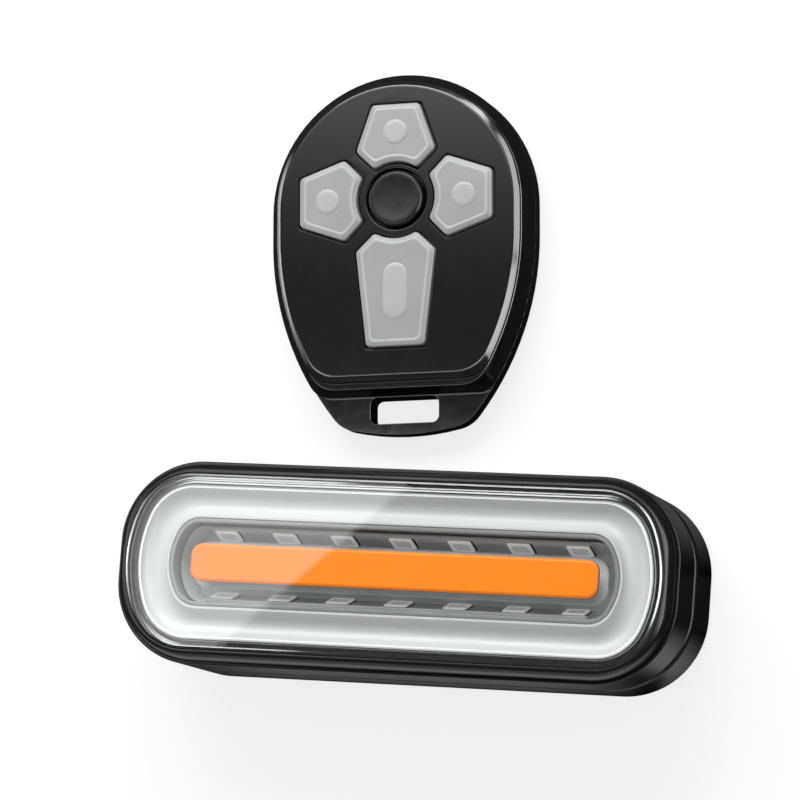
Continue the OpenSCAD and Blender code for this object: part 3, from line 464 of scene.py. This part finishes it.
def key_outline(key, g, r=1.0):
    """A key's outline grown by g: straight top, sides and shoulders, and a hollow edge about the button."""
    hollow, outer_w, reach = key
    low = math.sqrt(hollow ** 2 - KEY_FOOT_X ** 2)
    corners = [Vector(c) for c in (
        (outer_w, low + reach), (-outer_w, low + reach),
        (-KEY_SHOULDER_X, low + KEY_SHOULDER_UP), (-KEY_FOOT_X, low))]
    lines = []
    for p, q in zip(corners, corners[1:]):
        way = (q - p).normalized()
        lines.append((p + g * Vector((way.y, -way.x)), way))
    radius = hollow - g
    p, u = lines[2]
    along = p.dot(u)
    root = math.sqrt(along ** 2 - p.length_squared + radius ** 2)
    ends = [p + u * (root - along), p - u * (root + along)]
    foot = min(ends, key=lambda c: (c - corners[3]).length)
    shoulder, tip = meet(lines[1], lines[2]), meet(lines[0], lines[1])
    left = []
    for corner, before, after in ((tip, lines[0][1], lines[1][1]), (shoulder, lines[1][1], lines[2][1])):
        t = r * math.tan(before.angle(after) / 2)
        left += bend(corner - before * t, corner, corner + after * t)
    t = min(0.75 * r, 0.4 * (foot - shoulder).length)
    start_a = math.atan2(foot.y, foot.x) - t / radius
    turns = [start_a + (math.pi / 2 - start_a) * i / 8 for i in range(9)]
    on_arc = [radius * Vector((math.cos(a), math.sin(a))) for a in turns]
    left += bend(foot - u * t, foot, on_arc[0]) + on_arc[1:-1]
    right = [Vector((-c.x, c.y)) for c in reversed(left)]
    return [tuple(c) for c in left + [on_arc[-1]] + right]


# Solids: points, faces and a material number for each face

def oval_loft(profile, closed=True, picks=None):
    """Sweeps [r, z] points round the lamp's outline. An open profile is capped flat at both ends."""
    rings = [[(x, y, z) for x, y in oval_outline(r)] for r, z in profile]
    count, stations = len(profile), len(rings[0])
    verts = [ring[i] for i in range(stations) for ring in rings]
    faces, marks = [], []
    for i in range(stations):
        here, there = i * count, (i + 1) % stations * count
        for j in range(count if closed else count - 1):
            k = (j + 1) % count
            faces.append((here + j, there + j, there + k, here + k))
            marks.append(picks[j] if picks else 0)
    if not closed:
        faces.append(tuple(i * count for i in range(stations)))
        faces.append(tuple(i * count + count - 1 for i in range(stations)))
        marks += [picks[0] if picks else 0, picks[-1] if picks else 0]
    return verts, faces, marks


def loft(rows, picks=None, ring=False):
    """A solid through outlines of equal count: rows are (points, z). A ring runs back to its first row."""
    count = len(rows[0][0])
    verts = [(x, y, z) for points, z in rows for x, y in points]
    faces, marks = [], []
    for i in range(len(rows) if ring else len(rows) - 1):
        here, there = i * count, (i + 1) % len(rows) * count
        for j in range(count):
            k = (j + 1) % count
            faces.append((here + j, here + k, there + k, there + j))
            marks.append(picks[i] if picks else 0)
    if not ring:
        faces.append(tuple(range(count)))
        faces.append(tuple((len(rows) - 1) * count + j for j in range(count)))
        marks += [picks[0] if picks else 0, picks[-1] if picks else 0]
    return verts, faces, marks


def joined(solids):
    verts, faces, marks = [], [], []
    for v, f, m in solids:
        base = len(verts)
        verts += v
        faces += [tuple(i + base for i in face) for face in f]
        marks += m
    return verts, faces, marks


def moved(solid, matrix):
    verts, faces, marks = solid
    return [tuple(matrix @ Vector(v)) for v in verts], faces, marks


def marked(solid, pick):
    return solid[0], solid[1], [pick] * len(solid[1])


def turned(degrees):
    """The remote's place, turned about its centre button."""
    return REMOTE_AT @ Matrix.Rotation(math.radians(degrees), 4, "Z")


# Meshes

def shell_mesh(name, verts, faces):
    """A mesh from points in millimetres, with its faces turned outwards."""
    mesh = bpy.data.meshes.new(name)
    mesh.from_pydata([Vector(v) * MM for v in verts], [], faces)
    bm = bmesh.new()
    bm.from_mesh(mesh)
    bmesh.ops.recalc_face_normals(bm, faces=bm.faces)
    bm.to_mesh(mesh)
    bm.free()
    return mesh


def add_object(name, data):
    obj = bpy.data.objects.new(name, data)
    bpy.context.scene.collection.objects.link(obj)
    return obj


def finish_shading(obj, sharp, weighted=True):
    obj.data.shade_smooth()
    obj.data.set_sharp_from_angle(angle=math.radians(sharp))
    if weighted:
        normal = obj.modifiers.new("even_normals", "WEIGHTED_NORMAL")
        normal.keep_sharp = True


def piece(name, solid, mats, body, nodes=(), sharp=32.0, weighted=True):
    """One finished piece, riding on a body in place of CAD nodes."""
    verts, faces, marks = solid
    mesh = shell_mesh(name, verts, faces)
    for mat in mats:
        mesh.materials.append(MAT[mat])
    for poly, mark in zip(mesh.polygons, marks):
        poly.material_index = mark
    obj = add_object(name, mesh)
    finish_shading(obj, sharp, weighted)
    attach(obj, body)
    if nodes:
        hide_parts(*nodes)
    return obj


def cut(obj, cutters):
    """Takes closed cutters out of a piece and keeps the result as its mesh."""
    helpers = []
    for verts, faces, _ in cutters:
        helper = add_object("cutter", shell_mesh("cutter", verts, faces))
        helpers.append(helper)
        mod = obj.modifiers.new("hole", "BOOLEAN")
        mod.operation = "DIFFERENCE"
        mod.solver = "EXACT"
        mod.object = helper
    for mod in [m for m in obj.modifiers if m.type == "WEIGHTED_NORMAL"]:
        obj.modifiers.remove(mod)
    graph = bpy.context.evaluated_depsgraph_get()
    result = bpy.data.meshes.new_from_object(obj.evaluated_get(graph))
    obj.modifiers.clear()
    obj.data = result
    for helper in helpers:
        bpy.data.objects.remove(helper)


def dress(node, mat, bevel=0.12, angle=35.0):
    """A CAD node that keeps its shape: its edges are broken and it gets its real material."""
    obj = NODES[node]
    obj.material_slots[0].material = MAT[mat]
    weld = obj.modifiers.new("weld", "WELD")
    weld.merge_threshold = 2e-6
    if bevel:
        flat = obj.modifiers.new("flat", "DECIMATE")
        flat.decimate_type = "DISSOLVE"
        flat.angle_limit = math.radians(0.4)
        edge = obj.modifiers.new("edge", "BEVEL")
        edge.width = bevel * MM
        edge.segments = 3
        edge.limit_method = "ANGLE"
        edge.angle_limit = math.radians(angle)
        normal = obj.modifiers.new("even_normals", "WEIGHTED_NORMAL")
        normal.keep_sharp = False


# Lamp

def lamp_nodes():
    """The case, and what lies inside it and needs no finer shape."""
    dress("lamp_case", "lamp_shell", 0.16)
    dress("rear_cover", "lamp_shell", 0.16)
    for node, mat in (
            ("ring_board", "white_board"), ("ring_leds", "diode"),
            ("upper_led_board", "grey_board"), ("lower_led_board", "grey_board"),
            ("control_board", "green_board"), ("usb_socket", "bright_steel"),
            ("power_switch", "black_trim"), ("power_button", "black_rubber"),
            ("port_flap", "black_rubber"), ("battery", "foil_pouch"),
            ("receiver_can", "bright_steel"), ("joint_seal", "black_rubber"),
            ("case_screws", "screw_steel"), ("rack_inserts", "brass_trim")):
        dress(node, mat)
    dress("battery_leads", "lead_red", 0.0)
    dress("board_link", "brass_trim", 0.0)


def lens_plate():
    """The clear lens: a foot under the bezel, a frosted side and a bright chamfer."""
    foot = [(RECESS_R, LENS_Z), (RECESS_R, RIM_Z + SOFT), (RECESS_R + SOFT, RIM_Z),
        (OPTIC_R - SOFT, RIM_Z), (OPTIC_R, RIM_Z + SOFT), (OPTIC_R, LENS_Z)]
    chamfer = [(LENS_R - inset, LENS_TOP - drop) for inset, drop in LENS_CHAMFER]
    picks = [0] * len(foot) + [2] + [1] * (len(chamfer) - 1)
    verts, faces, marks = oval_loft(foot + [(LENS_R, LENS_Z)] + chamfer, closed=False, picks=picks)
    marks[-1] = 0
    mats = ["clear_lens", "lens_edge", "frosted_edge"]
    piece("lens_plate", (verts, faces, marks), mats, "lamp", ["front_lens"], sharp=15.0)


def bezel_ring():
    """The black ring about the lens, with a crowned front."""
    rows = [(BEZEL_STEP_R, BEZEL_Z), (BEZEL_RO, BEZEL_Z)]
    rows += arc(BEZEL_RO - CROWN_W, CROWN_Z, CROWN_W, 0, 90, 20, CROWN_H)
    rows += [(BEZEL_RI + out, CROWN_Z + CROWN_H - drop) for out, drop in BEZEL_LIP]
    rows += [(BEZEL_RI, LENS_Z), (BEZEL_STEP_R, LENS_Z)]
    piece("bezel_ring", oval_loft(rows), ["bezel_black"], "lamp", ["front_bezel"], sharp=40.0)


def lens_seal_ring():
    """The seal under the lens rim, whose glossy flats show as thin pale lines."""
    foot_z = RING_Z + 0.02
    rows = [(OPTIC_R, foot_z)] + [(r, RIM_Z - drop) for r, drop, _ in SEAL_STEPS] + [(SEAL_RI, foot_z)]
    picks = [0] + [gloss for _, _, gloss in SEAL_STEPS] + [0]
    solid = oval_loft(rows, picks=picks)
    piece("lens_seal_ring", solid, ["seal_black", "seal_gloss"], "lamp", ["lens_seal"],
        sharp=4.0, weighted=False)


def light_channel():
    """The white ring: a hollow channel between two lips, on legs that stand on the ring board."""
    hollow_r = (CHANNEL_HALF ** 2 + CHANNEL_DEPTH ** 2) / (2 * CHANNEL_DEPTH)
    hollow_z = OPTIC_TOP_Z - CHANNEL_DEPTH + hollow_r
    half_a = math.degrees(math.asin(CHANNEL_HALF / hollow_r))
    inner_leg = RING_RI + INNER_LEG_W
    outer_leg = OPTIC_R - OUTER_LEG_W
    legs = [(RING_RI, BOARD_TOP_Z), (inner_leg, BOARD_TOP_Z), (inner_leg, RING_UNDER_Z),
        (outer_leg, RING_UNDER_Z), (outer_leg, BOARD_TOP_Z), (OPTIC_R, BOARD_TOP_Z), (OPTIC_R, RING_Z)]
    lip = [(RING_RO + LIP_R, RING_Z), (RING_RO, RING_Z + LIP_R)]
    lip += arc(RING_RO - LIP_R, OPTIC_TOP_Z - LIP_R, LIP_R, 0, 90, 4)
    channel = arc(CHANNEL_MID, hollow_z, hollow_r, 270 + half_a, 270 - half_a, 28)
    channel += [(RING_RI + SOFT, OPTIC_TOP_Z), (RING_RI, OPTIC_TOP_Z - SOFT)]
    # The lip faces take the paler glowing material: a painted highlight along the ring's edge
    picks = [0] * len(legs) + [1] * len(lip) + [0] * len(channel)
    solid = oval_loft(legs + lip + channel, picks=picks)
    piece("light_channel", solid, ["white_optic", "lip_painted_highlight"], "lamp", ["light_ring"])


def well_guide():
    """The clear oval wall round the well, with a rounded top."""
    top_r = 0.18
    rows = [(GUIDE_RI, WELL_Z), (GUIDE_RO, WELL_Z)]
    rows += arc(GUIDE_RO - top_r, OPTIC_TOP_Z - top_r, top_r, 0, 90, 4)
    rows += arc(GUIDE_RI + top_r, OPTIC_TOP_Z - top_r, top_r, 90, 180, 4)
    piece("well_guide", oval_loft(rows), ["clear_wall"], "lamp", ["well_wall"])


def tray_cup():
    """The tray of the well: an outer wall, a slot for the clear wall, and a sloped side."""
    outer = [(TRAY_R - SOFT, TRAY_Z), (TRAY_R, TRAY_Z + SOFT), (TRAY_R, BOARD_Z - SOFT),
        (TRAY_R - SOFT, BOARD_Z), (RING_RI + SOFT, BOARD_Z), (RING_RI, BOARD_Z - SOFT), (RING_RI, WELL_Z)]
    side = [(SIDE_WALL_Y, WELL_Z), (SIDE_WALL_Y, SIDE_TOP_Z - 0.07), (SIDE_WALL_Y - 0.04, SIDE_TOP_Z),
        (SIDE_FOOT_Y, WELL_Z)]
    solid = oval_loft(outer + side, closed=False)
    piece("tray_cup", solid, ["smoked_grey"], "lamp", ["well_tray"], sharp=40.0)


def amber_guide():
    """The amber bar: a stem, undercut sides painted dark as shade, and a face with rounded edges."""
    stem = round_rect(BAR_L - BAR_STEM_W, BAR_STEM_W, BAR_STEM_R)
    under = round_rect(BAR_L - BAR_UNDERCUT, BAR_W - BAR_UNDERCUT, BAR_R - 1)
    rows = [(stem, WELL_Z), (stem, BAR_LOW_Z), (under, BAR_LOW_Z)]
    rows.append((round_rect(BAR_L, BAR_W, BAR_R), OPTIC_TOP_Z - BAR_SIDE))
    steps = 6
    for i in range(steps + 1):
        a = math.radians(90 * i / steps)
        inset = BAR_EDGE * (1 - math.cos(a))
        outline = round_rect(BAR_L - 2 * inset, BAR_W - 2 * inset, BAR_R - inset)
        rows.append((outline, OPTIC_TOP_Z - BAR_EDGE + BAR_EDGE * math.sin(a)))
    solid = loft(rows, [2, 2, 1, 1] + [0] * steps)
    mats = ["amber_optic", "bar_side_painted_shade", "seat_grey"]
    piece("amber_guide", solid, mats, "lamp", ["amber_bar"], sharp=40.0)


def bar_seat():
    """The pale ledge about the amber bar's stem."""
    rows = []
    for grow, z in ((SEAT_TUCK, SEAT_LOW_Z), (SEAT_W, SEAT_LOW_Z), (SEAT_W, SEAT_TOP_Z - SEAT_EDGE),
            (SEAT_W - SEAT_EDGE, SEAT_TOP_Z), (SEAT_TUCK, SEAT_TOP_Z)):
        rows.append((round_rect(BAR_L + 2 * grow, BAR_W + 2 * grow, BAR_R + grow), z))
    piece("bar_seat", loft(rows, ring=True), ["seat_grey"], "lamp")


def slope(side):
    turn = Matrix.Rotation(math.radians(-SIDE_TILT), 4, "X")
    lean = Matrix.Translation((0, SIDE_FOOT_Y, WELL_Z)) @ turn
    return lean if side > 0 else Matrix.Rotation(math.pi, 4, "Z") @ lean


def diode_solid():
    """A diode's package with its rim and a sunk window."""
    rows = []
    for inset, r, drop in LED_EDGE:
        rows.append((round_rect(LED_W - inset, LED_H - inset, r), LED_T - drop))
    return loft(rows, [0] * 5 + [1])


def diode_row(name, side):
    """Seven diodes on a sloped board, each on a thin black sheet set off to one side: painted shadow."""
    face = Matrix.Rotation(math.radians(90), 4, "X")
    outline = round_rect(SHADE_SHEET_W, SHADE_SHEET_H, SHADE_SHEET_R)
    shade_sheet = marked(loft([(outline, -0.02), (outline, SHADE_SHEET_T)]), 2)
    shift = Matrix.Translation((SHADE_SHEET_SHIFT * side, 0, 0))
    solids = []
    for i in range(LED_N):
        x = (i - (LED_N - 1) / 2) * LED_PITCH
        seat = slope(side) @ Matrix.Translation((x, -SIDE_BOARD_T, LED_UP)) @ face
        solids.append(moved(shade_sheet, seat @ shift))
        solids.append(moved(diode_solid(), seat))
    mats = ["diode", "diode_window", "diode_painted_shadow"]
    piece(name + "_row", joined(solids), mats, "lamp", [name])


# Remote

def remote_nodes():
    """The remote's shells, and what lies inside them."""
    for node, mat in (
            ("key_mat", "grey_silicone"), ("remote_board", "green_board"),
            ("switch_domes", "bright_steel"), ("coin_cell", "bright_steel"),
            ("cell_contact", "brass_trim"), ("transmitter_chip", "black_trim"),
            ("remote_screws", "screw_steel")):
        dress(node, mat, 0.1)
    dress("remote_rear_shell", "remote_gloss", 0.3, 30.0)
    dress("remote_front_shell", "remote_gloss", 0.2, 30.0)


def face_plate():
    """The remote's face: a glossy bevelled edge and a satin front, with holes for keys and button."""
    rows = []
    for inset, drop in FACE_EDGE:
        rows.append((egg_cut(inset, FACE_CORNER_R, FACE_END_Y + inset), REMOTE_T - drop))
    solid = moved(loft(rows, [1] * 8 + [0]), REMOTE_AT)
    plate = piece("face_plate", solid, ["remote_face", "remote_gloss"], "remote",
        ["remote_face_plate"])
    cutters = []
    for base, turn, _, _ in KEYS.values():
        hole = [(key_outline(base, KEY_GAP + grow), z) for grow, z in KEY_HOLE]
        cutters.append(moved(loft(hole), turned(turn)))
    hole = [(circle(BUTTON_HOLE_R + grow), z) for grow, z in BUTTON_HOLE]
    cutters.append(moved(loft(hole), REMOTE_AT))
    cut(plate, cutters)
    finish_shading(plate, 32.0)


def key_solid(base, mark_y, mark_l):
    """A key: hidden flange, upright wall, rounded edge, sloped border with a pale line, field and mark."""
    flange = [p if math.hypot(*p) > FLANGE_R else tuple(Vector(p).normalized() * FLANGE_R)
        for p in key_outline(base, FLANGE_GROW)]
    rows = [(flange, FLANGE_LOW_Z), (flange, FLANGE_TOP_Z), (key_outline(base, 0.0), STEM_Z)]
    rows += [(key_outline(base, grow), KEY_TOP - drop) for grow, drop in KEY_EDGE]
    mark_rows = []
    for inset, up in MARK_EDGE:
        r = MARK_R - inset
        outline = [(x, y + mark_y) for x, y in round_rect(2 * r, mark_l - 2 * inset, r - 0.001, 16)]
        mark_rows.append((outline, KEY_TOP - FIELD_DROP + up))
    return joined([loft(rows, KEY_PICKS), marked(loft(mark_rows), 2)])


def key_caps():
    mats = ["key_grey", "key_line", "key_mark"]
    for name, (base, turn, mark_y, mark_l) in KEYS.items():
        solid = moved(key_solid(base, mark_y, mark_l), turned(turn))
        piece(name + "_cap", solid, mats, name, [name], sharp=40.0)


def centre_cap():
    """The round button: hidden flange, upright wall, rounded edge and a shallow dish."""
    edge_z = KEY_TOP - BUTTON_EDGE
    profile = [(BUTTON_FLANGE_R, FLANGE_LOW_Z), (BUTTON_FLANGE_R, FLANGE_TOP_Z)]
    profile += [(BUTTON_R, STEM_Z), (BUTTON_R, edge_z - 0.05)]
    profile += arc(BUTTON_R - BUTTON_EDGE, edge_z, BUTTON_EDGE, 8, 90, 8)
    profile += [(r, KEY_TOP - drop) for r, drop in BUTTON_DISH]
    solid = moved(loft([(circle(r), z) for r, z in profile]), REMOTE_AT)
    piece("centre_cap", solid, ["centre_black"], "centre_button", ["centre_button"],
        sharp=40.0)


# Stage, light and camera

def stage_material(name):
    """An empty material, its tree and the socket of its surface."""
    mat = bpy.data.materials.new(name)
    mat.use_nodes = True
    nt = mat.node_tree
    nt.nodes.clear()
    return mat, nt, nt.nodes.new("ShaderNodeOutputMaterial").inputs["Surface"]


def edge_fade(nt, along, fade, top):
    """Rises softly from nothing at both ends of a side to top, over the share fade of the side."""
    rise = nt.nodes.new("ShaderNodeMapRange")
    rise.interpolation_type = "SMOOTHSTEP"
    rise.inputs["From Max"].default_value = fade
    rise.inputs["To Max"].default_value = top
    nt.links.new(maths(nt, "PINGPONG", along, 0.5), rise.inputs["Value"])
    return rise.outputs["Result"]


def emitter(name, strength, fade):
    """A glowing card. Its light falls off towards its edges, over the share fade of its sides."""
    mat, nt, target = stage_material(name)
    glow = nt.nodes.new("ShaderNodeEmission")
    glow.inputs["Strength"].default_value = strength
    nt.links.new(glow.outputs[0], target)
    if fade:
        split = nt.nodes.new("ShaderNodeSeparateXYZ")
        nt.links.new(nt.nodes.new("ShaderNodeTexCoord").outputs["Generated"], split.inputs[0])
        across = edge_fade(nt, split.outputs["X"], fade, strength)
        along = edge_fade(nt, split.outputs["Y"], fade, 1.0)
        nt.links.new(maths(nt, "MULTIPLY", across, along), glow.inputs["Strength"])
    return mat


def matt(nt, level):
    node = nt.nodes.new("ShaderNodeBsdfDiffuse")
    node.inputs["Color"].default_value = (level, level, level, 1.0)
    return node.outputs[0]


def white_floor():
    """A floor that the camera sees nearly white with a pale shadow, and that reflections see dark."""
    mat, nt, target = stage_material("white_floor")
    path = nt.nodes.new("ShaderNodeLightPath")
    glow = nt.nodes.new("ShaderNodeEmission")
    glow.inputs["Strength"].default_value = FLOOR_GLOW
    seen = nt.nodes.new("ShaderNodeAddShader")
    nt.links.new(matt(nt, 0.25), seen.inputs[0])
    nt.links.new(glow.outputs[0], seen.inputs[1])
    bounce = mixed(nt, path.outputs["Is Glossy Ray"], matt(nt, 0.8), matt(nt, 0.03))
    nt.links.new(mixed(nt, path.outputs["Is Camera Ray"], bounce, seen.outputs[0]), target)
    return mat


def plane(name, corners, mat):
    mesh = bpy.data.meshes.new(name)
    mesh.from_pydata([Vector(c) * MM for c in corners], [], [(0, 1, 2, 3)])
    mesh.materials.append(mat)
    obj = add_object(name, mesh)
    return obj


def level_rect(x0, x1, y0, y1, z):
    return [(x0, y0, z), (x1, y0, z), (x1, y1, z), (x0, y1, z)]


ALL_BUT_GLOSS = ("camera", "diffuse", "transmission", "volume_scatter", "shadow")
UNDER_LENS = ("camera", "diffuse", "volume_scatter", "shadow")
FLOOR_CARD_Z = 0.2


def gloss_card(name, corners, strength, fade=0.0, hidden=ALL_BUT_GLOSS):
    """A bright card that reflections show. The kinds of ray in hidden don't see it."""
    card = plane(name, corners, emitter(name, strength, fade))
    for ray in hidden:
        setattr(card, "visible_" + ray, False)


def lamp_cards():
    """Cards for the lamp: the slanted gleam on its lens, its rim lines, and the sheen low on its sides."""
    gleam = [(-12.8, 37.6, 120), (-73.8, -18.0, 120), (-150, -18.0, 120), (-150, 37.6, 120)]
    gloss_card("lens_card", gleam, 2.0, hidden=UNDER_LENS)
    gloss_card("rim_card", level_rect(-62, 34, 20.8, 32, 60), 2.4, 0.08, UNDER_LENS)
    gloss_card("upper_floor_card", level_rect(28, 62, 4, 34, FLOOR_CARD_Z), 0.15, 0.4)
    gloss_card("corner_floor_card", level_rect(40, 64, -34, -6, FLOOR_CARD_Z), 0.5, 0.4)
    gloss_card("lower_floor_card", level_rect(-52, 46, -30, -17, FLOOR_CARD_Z), 0.25, 0.3)
    gloss_card("front_floor_card", level_rect(-150, 120, -200, -28, FLOOR_CARD_Z), 1.1, 0.12)
    gloss_card("bezel_card", [(400, -150, 150), (400, 250, 150), (420, 250, 340), (420, -150, 340)], 5.0)


def remote_cards():
    """Cards for the remote: a soft sheen on its face and bright lines along its flanks."""
    gloss_card("face_card", level_rect(-212, 100, 75, 240, 160), 3.3, 0.5)
    gloss_card("right_card", [(150, 112, 460), (440, 112, 320), (400, 440, 260), (60, 440, 400)], 3.6)
    right = [(190, -80, 400), (320, -80, 340), (350, 125, 330), (215, 125, 395)]
    gloss_card("right_flank_card", right, 4.5, 0.15)
    left = [(-450, -90, 165), (-450, 300, 70), (-450, 300, 130), (-450, -90, 235)]
    gloss_card("left_flank_card", left, 4.6, 0.35)
    gloss_card("left_edge_card", [(-460, 20, 172), (-450, 100, 172), (-440, 100, 250), (-450, 20, 250)], 5.0)
    gloss_card("front_card", [(-450, -520, 30), (250, -520, 30), (250, -460, 190), (-450, -460, 190)], 1.0)


def soft_box(name, place, target, size, watts):
    data = bpy.data.lights.new(name, "AREA")
    data.shape = "RECTANGLE"
    data.size, data.size_y = size[0] * MM, size[1] * MM
    data.energy = watts
    obj = add_object(name, data)
    place, target = Vector(place) * MM, Vector(target) * MM
    obj.location = place
    obj.rotation_euler = (target - place).to_track_quat("-Z", "Y").to_euler()


def backdrop(nt, level):
    node = nt.nodes.new("ShaderNodeBackground")
    node.inputs["Color"].default_value = (1.0, 1.0, 1.0, 1.0)
    node.inputs["Strength"].default_value = level
    return node.outputs[0]


def studio():
    """A white room to the camera, also through clear pieces; a dim one to reflections."""
    world = bpy.data.worlds.new("studio")
    bpy.context.scene.world = world
    world.use_nodes = True
    nt = world.node_tree
    nt.nodes.clear()
    path = nt.nodes.new("ShaderNodeLightPath")
    unmirrored = maths(nt, "LESS_THAN", path.outputs["Glossy Depth"], 0.5)
    through = maths(nt, "MULTIPLY", path.outputs["Is Transmission Ray"], unmirrored)
    seen = maths(nt, "MAXIMUM", path.outputs["Is Camera Ray"], through)
    room = mixed(nt, path.outputs["Is Glossy Ray"], backdrop(nt, WORLD_LIGHT), backdrop(nt, WORLD_GLOSS))
    whole = mixed(nt, seen, room, backdrop(nt, WORLD_SEEN))
    nt.links.new(whole, nt.nodes.new("ShaderNodeOutputWorld").inputs["Surface"])


def photo_camera():
    data = bpy.data.cameras.new("camera")
    data.sensor_fit = "HORIZONTAL"
    data.sensor_width = CAMERA_SENSOR
    data.lens = CAMERA_LENS
    data.clip_start = 0.01
    data.clip_end = 20.0
    camera = add_object("camera", data)
    turn = Euler([math.radians(a) for a in CAMERA_TURN]).to_matrix().to_4x4()
    camera.matrix_world = Matrix.Translation(Vector(CAMERA_AT) * MM) @ turn
    bpy.context.scene.camera = camera
    bpy.context.scene.view_settings.view_transform = "Standard"


lamp_nodes()
lens_plate()
bezel_ring()
lens_seal_ring()
light_channel()
well_guide()
tray_cup()
amber_guide()
bar_seat()
diode_row("upper_leds", 1)
diode_row("lower_leds", -1)

remote_nodes()
face_plate()
key_caps()
centre_cap()

plane("floor", level_rect(-2500, 2500, -2500, 2500, -0.1), white_floor())
lamp_cards()
remote_cards()
soft_box("key_light", (-140, 640, 600), (0, 20, 0), (900, 420), KEY_WATTS)
studio()
photo_camera()
